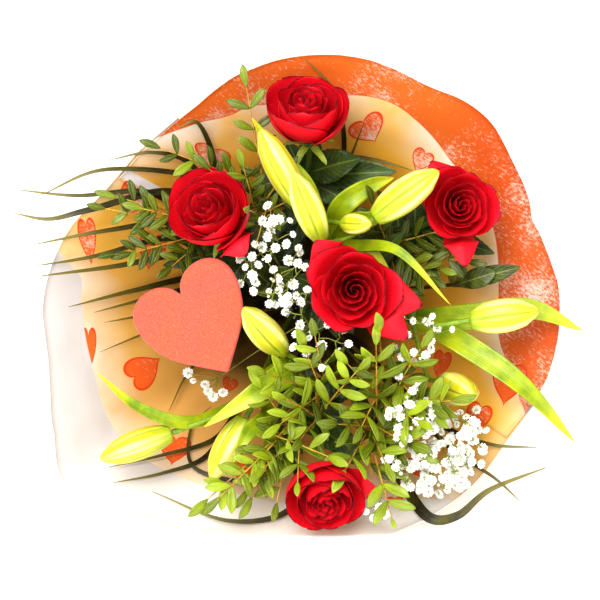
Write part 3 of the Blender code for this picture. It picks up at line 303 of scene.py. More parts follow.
# Broad leaves and rose leaves: node, height on the stem, tip, half width
BROAD_LEAVES = [
    ("broadleaf_1", 258, (168, 24, 286), 9.0), ("broadleaf_1", 252, (136, 34, 292), 8.0),
    ("broadleaf_1", 244, (188, 28, 294), 8.0),
    ("broadleaf_2", 250, (-34, 4, 304), 12.0), ("broadleaf_2", 244, (-6, 26, 290), 10.0),
    ("broadleaf_2", 238, (-48, 34, 284), 10.0),
]
BROAD_STEMS = {"broadleaf_1": (140, 14, 262), "broadleaf_2": (-28, 14, 262)}
ROSE_LEAVES = [
    ("rose_stem_1", 232, (52, 122, 282), 16), ("rose_stem_1", 222, (84, 112, 270), 15),
    ("rose_stem_2", 226, (-120, 30, 262), 12),
    ("rose_stem_3", 236, (88, 58, 300), 14), ("rose_stem_3", 228, (-4, 20, 286), 14),
    ("rose_stem_3", 220, (76, -22, 286), 12), ("rose_stem_4", 232, (168, 40, 280), 12),
    ("rose_stem_5", 226, (60, -136, 280), 12),
]
LEAF_LIFTS = (0, 6, -6, 12, -12, 18, -20)           # steps by which a leaf's tip may have been moved
LEAFLET = 21                    # longest leaflet, times its spray's own size
LEAFLET_SIZES = {"spray_3": 1.12, "spray_4": 1.2, "spray_5": 1.35, "spray_6": 1.25, "spray_7": 1.1}
DARK_SPRAYS = ("spray_1", "spray_2", "spray_7")
DEEP_LEAFLETS = 326             # leaflets below this height lie in the shade


def shade(red, green, blue):
    """A display colour, 0 to 255, as the linear colour that a shader takes."""
    values = []
    for part in (red, green, blue):
        part /= 255
        values.append(part / 12.92 if part <= 0.04045 else ((part + 0.055) / 1.055) ** 2.4)
    return (*values, 1.0)


# Curves and surfaces of the bouquet

def ease(share):
    """A share from 0 to 1, slowed at both ends."""
    share = np.clip(share, 0.0, 1.0)
    return share * share * (3 - 2 * share)


def cubic(a, b, c, d, t):
    """The smooth curve from b to c at a share t, with their neighbours a and d."""
    return 0.5 * (2 * b + (c - a) * t + (2 * a - 5 * b + 4 * c - d) * t ** 2
                  + (3 * b - a - 3 * c + d) * t ** 3)


def smooth_line(route, shares):
    """Points of the smooth curve through a route, at shares of its run."""
    points = np.array([tuple(p) for p in route], float)
    points = np.vstack([2 * points[0] - points[1], points, 2 * points[-1] - points[-2]])
    place = np.clip(np.asarray(shares, float), 0, 1) * (len(points) - 3)
    k = np.minimum(place.astype(int), len(points) - 4)
    t = (place - k)[..., None]
    return cubic(points[k], points[k + 1], points[k + 2], points[k + 3], t)


def ring_curve(points):
    """The distance from the middle at any angle, on a smooth closed curve through points round it."""
    polar = sorted((math.atan2(y, x) % math.tau, math.hypot(x, y)) for x, y in points)
    angles = np.array([a for a, _ in polar])
    reach = np.array([r for _, r in polar])
    count = len(polar)

    def at(angle):
        angle = np.asarray(angle, float) % math.tau
        k = (np.searchsorted(angles, angle, side="right") - 1) % count
        span = (angles[(k + 1) % count] - angles[k]) % math.tau
        t = ((angle - angles[k]) % math.tau) / span
        return cubic(*(reach[(k + j) % count] for j in (-1, 0, 1, 2)), t)
    return at


def upright(height):
    """A step of some millimetres along the axis."""
    return Vector((0, 0, height))


def outward(angle):
    """The direction away from the axis at an angle."""
    return Vector((math.cos(angle), math.sin(angle), 0))


rim_radius = ring_curve(RIM)
kraft_radius = ring_curve([(x - PHOTO / 2, PHOTO / 2 - y) for x, y in KRAFT_EDGE])


def cone_share(height):
    """How far the cone has opened at a share of its height."""
    return 0.86 * height + 0.14 * height ** 4


def paper_radius(angle, z):
    """The paper's distance from the axis, without its pleats."""
    neck = THROAT * (1 + 0.45 * ease((z + NECK) / (TAIL + NECK)))
    cone = THROAT + (rim_radius(angle) - THROAT) * cone_share(np.clip((z - NECK) / (MOUTH - NECK), 0, 1))
    return np.where(np.asarray(z) < NECK, neck, cone)


def paper_height(x, y):
    """The height of the paper's wall over a point seen from the mouth."""
    angle, reach = math.atan2(y, x), math.hypot(x, y)
    low, high = 0.0, float(MOUTH)
    for _ in range(24):
        middle = (low + high) / 2
        if paper_radius(angle, middle) < reach:
            low = middle
        else:
            high = middle
    return low


def ripple(points, size, seed):
    """Smooth random values over points, with hills about size apart."""
    rng = np.random.default_rng(seed)
    total = 0
    for octave in range(3):
        for _ in range(4):
            way = rng.normal(size=3)
            way *= 2 ** octave * math.tau / size / np.linalg.norm(way)
            total = total + np.sin(points @ way + rng.uniform(0, math.tau)) / 2 ** octave
    return total / 4


# Stems, as they run through the tie

def gather(z):
    """The bundle's width at a height, against its width in the tie."""
    return 1 + z / GATHER if z >= 0 else 1 - z / SPLAY


def turned(slot, z):
    """A place in the tie, turned by the spiral to a height."""
    angle = TWIST * math.tanh(z / TWIST_HEIGHT)
    x, y = slot
    return Vector((x * math.cos(angle) - y * math.sin(angle), x * math.sin(angle) + y * math.cos(angle)))


def stem_radius(name):
    """The radius of a named stem."""
    return next(radius for key, radius in STEM_RADIUS.items() if name.startswith(key))


def stem_heads():
    """The point that each stem runs to."""
    heads = {}
    for name, (middle, facing, scale, *_) in ROSES.items():
        heads[name.replace("rose", "rose_stem")] = (Vector(middle)
                                                    - Vector(facing).normalized() * HEAD_BELOW * scale)
    heads.update({name: Vector(place) for name, place in LILY_NODES.items()})
    heads["heart_stick"] = Vector(HEART_MIDDLE)
    for name, leaves in SPRAYS.items():
        heads[name] = sum((Vector(root) for root, _, _ in leaves), Vector()) / len(leaves)
    for name, (middle, _, _) in CLOUDS.items():
        heads[name] = Vector(middle) - upright(CLOUD_BELOW)
    heads.update({name: Vector(place) for name, place in BROAD_STEMS.items()})
    for name, blades in GRASS.items():
        middle = sum((Vector(points[0]) for points, _ in blades), Vector((0, 0))) / len(blades)
        heads[name] = Vector((*middle * GRASS_INWARD, MOUTH))
    return heads


def bundle(heads):
    """Each stem's place in the tie: where its straight run would pass, drawn together without overlap."""
    names = list(heads)
    places = [turned((heads[n].x, heads[n].y), -heads[n].z) / gather(heads[n].z) for n in names]
    radii = [stem_radius(n) for n in names]
    for step in range(PACKING_STEPS):
        if step < DRAWING_STEPS:
            places = [place * DRAWN_IN for place in places]
        for i in range(len(names)):
            for j in range(i):
                apart = places[i] - places[j]
                short = radii[i] + radii[j] + BUNDLE_GAP - apart.length
                if short > 0:
                    push = apart.normalized() * short / 2
                    places[i] += push
                    places[j] -= push
    return {n: tuple(place) for n, place in zip(names, places)}


HEADS = stem_heads()
SLOTS = bundle(HEADS)
BUNDLE = max(math.hypot(*place) * gather(NECK) + stem_radius(name) for name, place in SLOTS.items())
THROAT = (BUNDLE + GAP + CAD_PAPER) / (1 - PLEAT_DEPTH)
ROUTES = {}


def stem_point(name, z):
    """A stem's place at a height: its slot's place in the spiral, drawn towards its head."""
    slot, head = SLOTS[name], HEADS[name]
    own = turned(slot, z) * gather(z)
    if z > 0:
        own += (head.xy - turned(slot, head.z) * gather(head.z)) * z / head.z
    return Vector((own.x, own.y, z))


def stem_route(name, top, facing=None):
    """Points of a stem from its cut end to its top, the last ones turning into the head's direction."""
    points = [stem_point(name, z) for z in STEM_HEIGHTS]
    ROUTES[name] = points
    if not facing:
        points.append(stem_point(name, top.z))
        return points
    start = stem_point(name, top.z - BEND)
    lean = (start - stem_point(name, top.z - BEND - 10)).normalized() * BEND * 0.45
    into = Vector(facing).normalized() * BEND * 0.45
    run = [start, start + lean, top - into, top]
    for step in range(7):
        t = step / 6
        points.append((1 - t) ** 3 * run[0] + 3 * t * (1 - t) ** 2 * run[1]
                      + 3 * t * t * (1 - t) * run[2] + t ** 3 * run[3])
    return points


def on_stem(name, z):
    """The point of a stem's middle line at a height."""
    for low, high in zip(ROUTES[name], ROUTES[name][1:]):
        if low.z <= z <= high.z:
            return low.lerp(high, (z - low.z) / (high.z - low.z))
    return ROUTES[name][-1].copy()


TREES = {}


def from_node(node, place):
    """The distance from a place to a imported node, in millimetres."""
    if node not in TREES:
        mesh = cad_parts[node].data
        TREES[node] = BVHTree.FromPolygons([TO_LOCAL @ v.co for v in mesh.vertices],
                                           [tuple(p.vertices) for p in mesh.polygons])
    return TREES[node].find_nearest(Vector(place))[3]


def clear(places, distance, petals=0.0):
    """Whether places keep their distance from the flowers, the heart and the paper, or more from petals."""
    solid = [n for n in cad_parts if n.startswith(("rose_", "lily_bud", "heart", "paper"))
             and "stem" not in n and n != "heart_stick"]
    return all(from_node(n, p) > (max(distance, petals) if n.startswith("rose_") else distance)
               for n in solid for p in places)


def in_box(place):
    """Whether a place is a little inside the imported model's box."""
    world = TO_WORLD @ Vector(place)
    return all(low + 2 * MM < part < high - 2 * MM for low, part, high in zip(CAD_BOX[0], world, CAD_BOX[1]))


def photo_place(u, v, z):
    """The point at a height that a pixel of the photograph shows."""
    scale = MM_PER_PIXEL * (EYE - z) / (EYE - SEEN_AT)
    return Vector(((u - PHOTO / 2) * scale, (PHOTO / 2 - v) * scale, z))


def settled(node, routes, limit=5.0):
    """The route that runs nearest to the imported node, or None where the node has no such leaf."""
    def away(route):
        places = smooth_line(route, (0.55, 0.7, 0.85, 1.0))
        return sum(from_node(node, p) for p in places) / len(places)
    best = min(routes, key=away)
    return best if away(best) < limit else None


def facing_matrix(place, facing, spin=0.0):
    """A place and turn whose z runs along facing and whose x lies level, turned by spin about z."""
    z_axis = Vector(facing).normalized()
    x_axis = Vector((0, 1, 0)).cross(z_axis)
    if x_axis.length < 0.01:
        x_axis = Vector((1, 0, 0))
    x_axis.normalize()
    turn = Matrix((x_axis, z_axis.cross(x_axis), z_axis)).transposed().to_4x4()
    return Matrix.Translation(Vector(place)) @ turn @ Matrix.Rotation(spin, 4, "Z")


def moved(points, matrix):
    """An array of points through a matrix."""
    return points @ np.array(matrix.to_3x3()).T + np.array(matrix.translation)


# Meshes from grids of points

def linked(name, data):
    """A new object in the scene."""
    made = bpy.data.objects.new(name, data)
    bpy.context.scene.collection.objects.link(made)
    return made


class Skin:
    """Surfaces gathered for one piece: grids of points, each with its place on its surface and a tone."""

    def __init__(self):
        self.points, self.quads, self.places, self.tones = [], [], [], []
        self.count = 0

    def add(self, grid, tone=0.5):
        """Adds a grid of points, with one tone or a tone for each point."""
        rows, columns = grid.shape[:2]
        index = np.arange(rows * columns).reshape(rows, columns) + self.count
        self.quads.append(np.stack([index[:-1, :-1], index[:-1, 1:], index[1:, 1:], index[1:, :-1]],
                                   axis=-1).reshape(-1, 4))
        v, u = np.meshgrid(np.linspace(0, 1, rows), np.linspace(0, 1, columns), indexing="ij")
        self.places.append(np.stack([u, v], axis=-1).reshape(-1, 2))
        self.points.append(grid.reshape(-1, 3))
        self.tones.append(np.full(rows * columns, tone))
        self.count += rows * columns

    def build(self, name, finish=None, thickness=0.0, closed=False, extra=None, frame_matrix=TO_WORLD):
        """The piece as one object: merged where it closes on itself, or given a thickness."""
        quads = np.concatenate(self.quads)
        world = moved(np.concatenate(self.points), frame_matrix)
        mesh = bpy.data.meshes.new(name)
        mesh.vertices.add(len(world))
        mesh.vertices.foreach_set("co", world.ravel())
        mesh.loops.add(quads.size)
        mesh.loops.foreach_set("vertex_index", quads.ravel())
        mesh.polygons.add(len(quads))
        mesh.polygons.foreach_set("loop_start", np.arange(0, quads.size, 4))
        mesh.update(calc_edges=True)
        mesh.uv_layers.new(name="UVMap").data.foreach_set(
            "uv", np.concatenate(self.places)[quads.ravel()].ravel())
        values = {"tone": np.concatenate(self.tones), **(extra or {})}
        for key, value in values.items():
            mesh.attributes.new(key, "FLOAT", "POINT").data.foreach_set("value", value)
        if closed:
            bm = bmesh.new()
            bm.from_mesh(mesh)
            bmesh.ops.remove_doubles(bm, verts=bm.verts, dist=1e-6)
            bmesh.ops.dissolve_degenerate(bm, edges=bm.edges, dist=1e-7)
            bmesh.ops.recalc_face_normals(bm, faces=bm.faces)
            bm.to_mesh(mesh)
            bm.free()
        piece = linked(name, mesh)
        if thickness:
            wall = piece.modifiers.new("thickness", "SOLIDIFY")
            wall.thickness = thickness * np.linalg.norm(np.array(frame_matrix)[:3, 0])
            wall.offset = 0
            plain(piece)
        if finish:
            piece.data.materials.append(finish)
        piece.data.shade_smooth()
        return piece


def plain(piece):
    """Turns an object with its modifiers into a plain mesh object."""
    graph = bpy.context.evaluated_depsgraph_get()
    mesh = bpy.data.meshes.new_from_object(piece.evaluated_get(graph), depsgraph=graph)
    old = piece.data
    piece.modifiers.clear()
    if piece.type == "MESH":
        piece.data = mesh
        bpy.data.meshes.remove(old)
        return piece
    made = linked(piece.name, mesh)
    name = piece.name
    bpy.data.objects.remove(piece)
    bpy.data.curves.remove(old)
    made.name = name
    return made


def placed(piece, slot, *nodes):
    """Hangs a finished piece on the part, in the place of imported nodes."""
    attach(piece, "root")
    if nodes:
        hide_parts(*nodes)
    return piece


def leaf_grid(route, half_width, facing, outline, rows=20, columns=6, fold=0.2, wave=0.0, seed=0):
    """A leaf along a route, folded along its midrib, with a waved edge."""
    shares = np.linspace(0, 1, rows + 1)
    line = smooth_line(route, shares)
    along = np.gradient(line, axis=0)
    along /= np.linalg.norm(along, axis=1)[:, None]
    wide = np.cross(along, np.array(Vector(facing).normalized()))
    wide /= np.linalg.norm(wide, axis=1)[:, None]
    up = np.cross(wide, along)
    side = np.linspace(-1, 1, columns + 1)
    reach = half_width * outline(shares)
    rng = np.random.default_rng(seed)
    edge = wave * np.sin(shares * rng.uniform(14, 22) + rng.uniform(0, 6))[:, None] * side ** 2
    edge = edge + wave * 0.7 * np.sin(shares * rng.uniform(9, 15) + rng.uniform(0, 6))[:, None] * side ** 3
    lift = reach[:, None] * (fold * np.abs(side) ** 1.3 + edge)
    return (line[:, None] + wide[:, None] * (reach[:, None] * side)[..., None]
            + up[:, None] * lift[..., None])


def lens(shares, widest=0.42, base=0.12, tip=0.02):
    """Leaf outline: a lens, widest at a share of its length."""
    rise = base + (1 - base) * np.sin(np.clip(shares / widest, 0, 1) * math.pi / 2) ** 0.9
    fall = tip + (1 - tip) * np.cos(np.clip((shares - widest) / (1 - widest), 0, 1) * math.pi / 2) ** 0.85
    return np.where(shares < widest, rise, fall)


# Node trees

class Graph:
    """Adds nodes to a tree: values go to the inputs in order, or by name."""

    def __init__(self, tree):
        self.tree = tree
        self.column = 0

    def add(self, kind, *values, out=0, **named):
        node = self.tree.nodes.new(kind)
        node.location = (200 * (self.column % 12), -180 * (self.column // 12))
        self.column += 1
        for key, value in named.items():
            if hasattr(node, key):
                setattr(node, key, value)
            else:
                self.put(node.inputs[key.replace("_", " ")], value)
        for socket, value in zip(node.inputs, values):
            self.put(socket, value)
        return node.outputs[out] if len(node.outputs) > 0 else node

    def put(self, socket, value):
        """Links an output to a socket, or sets the socket's value."""
        if isinstance(value, bpy.types.NodeSocket):
            self.tree.links.new(value, socket)
        elif value is not None:
            socket.default_value = value

    def math(self, operation, a, b=0.0):
        """A sum on one or two values."""
        return self.add("ShaderNodeMath", a, b, operation=operation)

    def times(self, a, b):
        return self.math("MULTIPLY", a, b)

    def plus(self, a, b):
        return self.math("ADD", a, b)

    def minus(self, a, b):
        return self.math("SUBTRACT", a, b)

    def span(self, value, low, high, to_low=0.0, to_high=1.0):
        """A value between two limits, as a share from 0 to 1 or between two others."""
        return self.add("ShaderNodeMapRange", value, low, high, to_low, to_high)

    def noise(self, vector, scale, detail=3.0, roughness=0.55):
        return self.add("ShaderNodeTexNoise", Vector=vector, Scale=scale, Detail=detail, Roughness=roughness)

    def bands(self, vector, scale, distortion, direction):
        """Ribs across a direction, 0 to 1."""
        return self.add("ShaderNodeTexWave", vector, scale, distortion, 2, bands_direction=direction, out=1)

    def place(self, vector, location=(0, 0, 0), rotation=(0, 0, 0), scale=(1, 1, 1)):
        """A vector as it is seen from a place, turn and scale."""
        return self.add("ShaderNodeMapping", vector, location, rotation, scale, vector_type="TEXTURE")

    def split(self, vector):
        """The x, y and z of a vector."""
        return self.add("ShaderNodeSeparateXYZ", vector).node.outputs

    def uv(self):
        """The place across and along a leaf or petal, each 0 to 1, or in the photograph on the paper."""
        return self.add("ShaderNodeUVMap", uv_map="UVMap")

    def value(self, name):
        """A value that the mesh holds at its points."""
        return self.add("ShaderNodeAttribute", out=2, attribute_name=name)

    def local(self):
        """Object coordinates as the bouquet's own, in millimetres."""
        seen = self.add("ShaderNodeTexCoord", out=3)
        return self.place(seen, tuple(TIE_MIDDLE), (math.pi / 2 - TILT, 0, 0), (MM, MM, MM))

    def uses(self, tree, *values):
        """Places a shared group in the tree and gives its output."""
        node = self.tree.nodes.new("ShaderNodeGroup")
        node.node_tree = tree
        for socket, value in zip(node.inputs, values):
            self.put(socket, value)
        return node.outputs[0]

    def mix(self, factor, a, b):
        """Colour a turned into colour b by a factor."""
        node = self.add("ShaderNodeMix", out=2, data_type="RGBA").node
        for slot, value in ((0, factor), (6, a), (7, b)):
            self.put(node.inputs[slot], value)
        return node.outputs[2]

    def layers(self, colour, *layers):
        """Colours laid over a first one: each with its mask, its strength and its colour."""
        for mask, strength, over in layers:
            colour = self.mix(mask if strength == 1 else self.times(mask, strength), colour, over)
        return colour


def shared_tree(name, kind, sockets, fill):
    """A node tree with named inputs and one output, built once. Fill gives what the output takes."""
    tree = bpy.data.node_groups.get(name)
    if tree:
        return tree
    tree = bpy.data.node_groups.new(name, kind)
    for label, side, of_kind, default in sockets:
        socket = tree.interface.new_socket(label, in_out=side, socket_type="NodeSocket" + of_kind)
        if default is not None:
            socket.default_value = default
    graph = Graph(tree)
    given = tree.nodes.new("NodeGroupInput").outputs
    graph.put(tree.nodes.new("NodeGroupOutput").inputs[0], fill(graph, given))
    return tree


def shape_tree(name, fill, **inputs):
    """A geometry tree that makes its copies real and gives them a material."""
    sockets = [("Geometry", "INPUT", "Geometry", None)]
    sockets += [(label, "INPUT", *given) for label, given in inputs.items()]
    sockets += [("Material", "INPUT", "Material", None), ("Geometry", "OUTPUT", "Geometry", None)]

    def finished(graph, given):
        real = graph.add("GeometryNodeRealizeInstances", fill(graph, given))
        return graph.add("GeometryNodeSetMaterial", real, Material=given["Material"])
    return shared_tree(name, "GeometryNodeTree", sockets, finished)


def mask_group(name, fill, **inputs):
    """A shader group: an effect over a vector, with named values, that gives one mask."""
    sockets = [("Vector", "INPUT", "Vector", None)]
    sockets += [(label, "INPUT", "Float", default) for label, default in inputs.items()]
    return shared_tree(name, "ShaderNodeTree", sockets + [("Mask", "OUTPUT", "Float", None)], fill)


def run_tree(piece, tree, **values):
    """Gives a piece the tree with its inputs set, and makes the result a plain mesh."""
    modifier = piece.modifiers.new("build", "NODES")
    modifier.node_group = tree
    for item in tree.interface.items_tree:
        if item.item_type == "SOCKET" and item.in_out == "INPUT" and item.name in values:
            modifier[item.identifier] = values[item.name]
    return plain(piece)


def round_bars():
    """Curves with a radius at each point become round bars."""
    def fill(graph, given):
        ring = graph.add("GeometryNodeCurvePrimitiveCircle", Resolution=given["Sides"], Radius=1.0)
        radius = graph.add("GeometryNodeInputRadius")
        bars = graph.add("GeometryNodeCurveToMesh", given["Geometry"], ring, radius, True)
        return graph.add("GeometryNodeSetShadeSmooth", bars)
    return shape_tree("round_bars", fill, Sides=("Int", 8))


def scattered_shapes():
    """A small shape at every point, turned and sized by the point's attributes."""
    def fill(graph, given):
        shape = graph.add("GeometryNodeObjectInfo", given["Shape"], out=4)
        turn = graph.add("GeometryNodeInputNamedAttribute", "turn", data_type="FLOAT_VECTOR")
        size = graph.add("GeometryNodeInputNamedAttribute", "size", data_type="FLOAT")
        spin = graph.add("FunctionNodeEulerToRotation", turn)
        return graph.add("GeometryNodeInstanceOnPoints", given["Geometry"], Instance=shape, Rotation=spin,
                         Scale=size)
    return shape_tree("scattered_shapes", fill, Shape=("Object", None))


def tubes(name, runs, finish, sides=8):
    """Round bars along routes in the bouquet's frame, each route with radii, as one object."""
    curve = bpy.data.curves.new(name, "CURVE")
    curve.dimensions = "3D"
    for points, radii in runs:
        spline = curve.splines.new("POLY")
        spline.points.add(len(points) - 1)
        for place, point, radius in zip(spline.points, points, radii):
            place.co = (*(TO_WORLD @ Vector(point)), 1)
            place.radius = radius * MM
    return run_tree(linked(name, curve), round_bars(), Sides=sides, Material=finish)


def scattered(name, shape, places, finish):
    """A shape set at places: (point, rotation matrix, size in millimetres, tone)."""
    if "tone" in shape.data.attributes:       # the copies take the tone of their points
        shape.data.attributes.remove(shape.data.attributes["tone"])
    points, turns, sizes, tones = zip(*places)
    mesh = bpy.data.meshes.new(name)
    mesh.from_pydata([TO_WORLD @ Vector(point) for point in points], [], [])
    turns = [(TO_WORLD.to_3x3().normalized() @ turn).to_euler() for turn in turns]
    mesh.attributes.new("turn", "FLOAT_VECTOR", "POINT").data.foreach_set(
        "vector", [value for turn in turns for value in turn])
    mesh.attributes.new("size", "FLOAT", "POINT").data.foreach_set("value", [size * MM for size in sizes])
    mesh.attributes.new("tone", "FLOAT", "POINT").data.foreach_set("value", tones)
    return run_tree(linked(name, mesh), scattered_shapes(), Shape=shape, Material=finish)


# Effects that several materials share

def grain():
    """Long uneven streaks, for stems and wood."""
    def fill(graph, given):
        rough = graph.noise(graph.place(given["Vector"], scale=(1, 1, 14)), given["Scale"], 4, 0.6)
        soft = graph.noise(given["Vector"], graph.times(given["Scale"], 0.12), 2)
        return graph.span(graph.plus(graph.times(rough, 0.6), graph.times(soft, 0.4)), 0.36, 0.64)
    return mask_group("long_grain", fill, Scale=0.8)


def veins():
    """The veins of a broad leaf: a middle rib and pairs that leave it at a slant."""
    def fill(graph, given):
        across, along = graph.split(given["Vector"])[:2]
        side = graph.math("ABSOLUTE", graph.minus(across, 0.5))
        rib = graph.span(side, 0.015, 0.05, 1.0, 0.0)
        slant = graph.minus(along, graph.times(side, given["Slant"]))
        wave = graph.math("SINE", graph.times(slant, given["Pairs"]))
        return graph.math("MAXIMUM", rib, graph.times(graph.span(wave, 0.82, 1.0), 0.55))
    return mask_group("leaf_veins", fill, Pairs=60.0, Slant=0.5)


def stripes():
    """Fine lines along a leaf, petal, blade or bud, as many as Count across it."""
    def fill(graph, given):
        across = graph.split(given["Vector"])[0]
        place = graph.plus(across, graph.times(graph.noise(given["Vector"], 3.0, 1), 0.03))
        wave = graph.math("SINE", graph.times(place, graph.times(given["Count"], math.tau)))
        rough = graph.noise(graph.place(given["Vector"], scale=(0.03, 1, 1)), 2.4, 3, 0.6)
        return graph.times(graph.span(wave, -1, 1), graph.span(rough, 0.3, 0.7))
    return mask_group("long_stripes", fill, Count=12.0)


def printed_hearts():
    """The printed hearts: below 1 inside a heart, near 1 on its outline. Vector is in photo pixels."""
    def fill(graph, given):
        nearest = None
        for x, y, wide, high, turn in HEARTS:
            spot = graph.place(given["Vector"], (x, y, 0), (0, 0, math.radians(turn)), (wide, high, 1))
            across, down = graph.split(spot)[:2]
            root = graph.math("POWER", graph.math("ABSOLUTE", across), 0.5)
            tall = graph.plus(graph.minus(graph.times(down, -1.2), graph.times(root, 0.8)), 0.22)
            square = graph.plus(graph.times(across, across), graph.times(tall, tall))
            reach = graph.math("POWER", square, 0.5)
            nearest = reach if nearest is None else graph.math("MINIMUM", nearest, reach)
        return nearest
    return mask_group("printed_hearts", fill)


def brushed():
    """Scratchy pale specks in a brushed print, where the noise is above From."""
    def fill(graph, given):
        long = graph.place(given["Vector"], rotation=(0, 0, 0.6), scale=(1.9, 1, 1))
        fine_noise = graph.noise(long, 0.42, 5, 0.78)
        wide_noise = graph.noise(given["Vector"], 0.022, 3, 0.6)
        both = graph.plus(graph.times(fine_noise, 0.62), graph.times(wide_noise, 0.38))
        return graph.span(both, given["From"], graph.plus(given["From"], 0.11))
    return mask_group("brushed_specks", fill, From=0.53)


# Materials

def surface(name, paint, bump=0.4, depth=0.3, **sockets):
    """A material. Paint gives its colour, roughness and height, and its other values are even."""
    found = bpy.data.materials.get(name)
    if found:
        return found
    found = bpy.data.materials.new(name)
    found.use_nodes = True
    graph = Graph(found.node_tree)
    shader = found.node_tree.nodes["Principled BSDF"]
    colour, roughness, height = paint(graph)
    graph.put(shader.inputs["Base Color"], colour)
    graph.put(shader.inputs["Roughness"], roughness)
    if height:
        raised = graph.add("ShaderNodeBump", Strength=bump, Distance=depth * MM, Height=height)
        graph.put(shader.inputs["Normal"], raised)
    for key, value in sockets.items():
        shader.inputs[key.replace("_", " ")].default_value = value
    return found


def orange_border(graph, settings, x, y, edge, seen, hearts):
    """Brushed orange with pale specks: more of them at the right and near the kraft."""
    right = graph.span(x, 470, 560)
    near = graph.times(graph.span(edge, 22, 2), 0.035)
    upper = graph.times(graph.span(y, 260, 190), graph.span(x, 440, 490))
    start = graph.minus(graph.span(right, 0, 1, 0.532, 0.482), near)
    specks = graph.uses(brushed(), seen, graph.plus(start, graph.times(upper, 0.02)))
    line = graph.times(graph.span(edge, -1.4, -0.4), graph.span(edge, 0.3, 1.2, 1, 0))
    outline = graph.times(graph.span(hearts, 0.93, 0.96), graph.span(hearts, 1.0, 1.03, 1, 0))
    return graph.layers((*settings.orange, 1), (right, 1, shade(222, 98, 50)), (upper, 1, shade(204, 88, 30)),
                        (specks, 0.82, shade(252, 220, 204)), (line, 1, shade(226, 74, 22)),
                        (outline, 1, shade(222, 66, 40)))


def white_border(graph, settings, x, y, edge, seen, hearts):
    """White, a little uneven, with painted light that makes it palest towards the bottom, and faint outlines
    of the hearts.
    """
    outline = graph.times(graph.span(hearts, 0.95, 0.97), graph.span(hearts, 1.0, 1.02, 1, 0))
    # painted light: the lower part of the sheet is lightened towards the bottom, against the shade it faces
    return graph.layers((*settings.white, 1), (graph.noise(seen, 0.02, 2), 1, shade(208, 200, 195)),
                        (graph.span(y, 465, 515), 1, shade(252, 248, 240)),
                        (outline, 0.35, shade(190, 176, 170)))


def paper_inside(name, border, settings):
    """Kraft with printed hearts, and a printed border beyond the attribute edge = 0."""
    def paint(graph):
        seen = graph.place(graph.uv(), scale=(1 / PHOTO, 1 / PHOTO, 1))
        x, y = graph.split(seen)[:2]
        edge = graph.value("edge")
        low = graph.minus(y, graph.times(x, 0.5))
        # painted highlight: the kraft turns cream in patches near the printed border
        pale = graph.times(graph.span(edge, -44, -2), graph.span(graph.noise(seen, 0.012, 3), 0.25, 0.6))
        rib = graph.bands(graph.place(seen, rotation=(0, 0, 0.62)), 0.157, 0.6, "Y")
        ribs = graph.times(graph.span(rib, 0.2, 0.8), graph.span(low, 20, 260, 0.08, 0.26))
        specks = graph.uses(brushed(), seen, graph.span(y, 150, 330, 0.45, 0.54))
        hearts = graph.uses(printed_hearts(), seen)
        red = graph.layers((*settings.print, 1), (specks, 1, shade(255, 222, 196)),
                           (graph.span(hearts, 0.86, 0.93), 1, shade(238, 78, 26)))
        # painted shade: below 150 mm the kraft darkens towards dark brown, where the stems shade the throat
        # of the cone
        depth = graph.split(graph.local())[2]
        # a strip of the white edge that shows past the orange one at the upper left
        strip = graph.split(graph.place(seen, (146, 185, 0), (0, 0, 0.49), (27, 5, 1)))
        inside = graph.times(graph.span(graph.math("ABSOLUTE", strip[0]), 0.97, 1, 1, 0),
                             graph.span(graph.math("ABSOLUTE", strip[1]), 0.94, 1, 1, 0))
        frame_colour = border(graph, settings, x, y, edge, seen, hearts)
        colour = graph.layers((*settings.kraft, 1), (graph.span(low, 130, 380), 1, shade(240, 188, 116)),
                              (pale, 1, shade(255, 240, 218)), (ribs, 1, shade(150, 96, 40)),
                              (graph.span(hearts, 0.99, 1.03, 1, 0), 1, red),
                              # painted shade low in the cone
                              (graph.span(depth, 150, 100), 0.85, shade(58, 42, 16)),
                              (graph.span(edge, -0.5, 0.5), 1, frame_colour),
                              (inside, 1, shade(250, 246, 244)))
        fibre = graph.noise(graph.local(), 1.1, 4, 0.6)
        return colour, graph.span(fibre, 0.3, 0.7, 0.5, 0.68), graph.plus(fibre, graph.times(rib, 0.7))
    return surface(name, paint, bump=0.18, depth=0.2, Specular_IOR_Level=0.3)


def paper_outside(settings):
    """The plain kraft back of the sheets, ribbed and a little fibrous."""
    def paint(graph):
        place = graph.local()
        fibre = graph.noise(graph.place(place, scale=(1, 1, 3)), 0.7, 5, 0.65)
        rib = graph.bands(place, 0.2, 0.5, "Z")
        colour = graph.layers((*settings.back, 1),
                              (graph.span(graph.noise(place, 0.014, 3), 0.3, 0.7), 1, shade(200, 156, 102)),
                              (graph.span(fibre, 0.35, 0.7), 0.35, shade(150, 104, 56)))
        return colour, graph.span(fibre, 0.3, 0.7, 0.55, 0.75), graph.plus(fibre, graph.times(rib, 0.8))
    return surface("kraft_back", paint, bump=0.3, depth=0.25, Specular_IOR_Level=0.3)


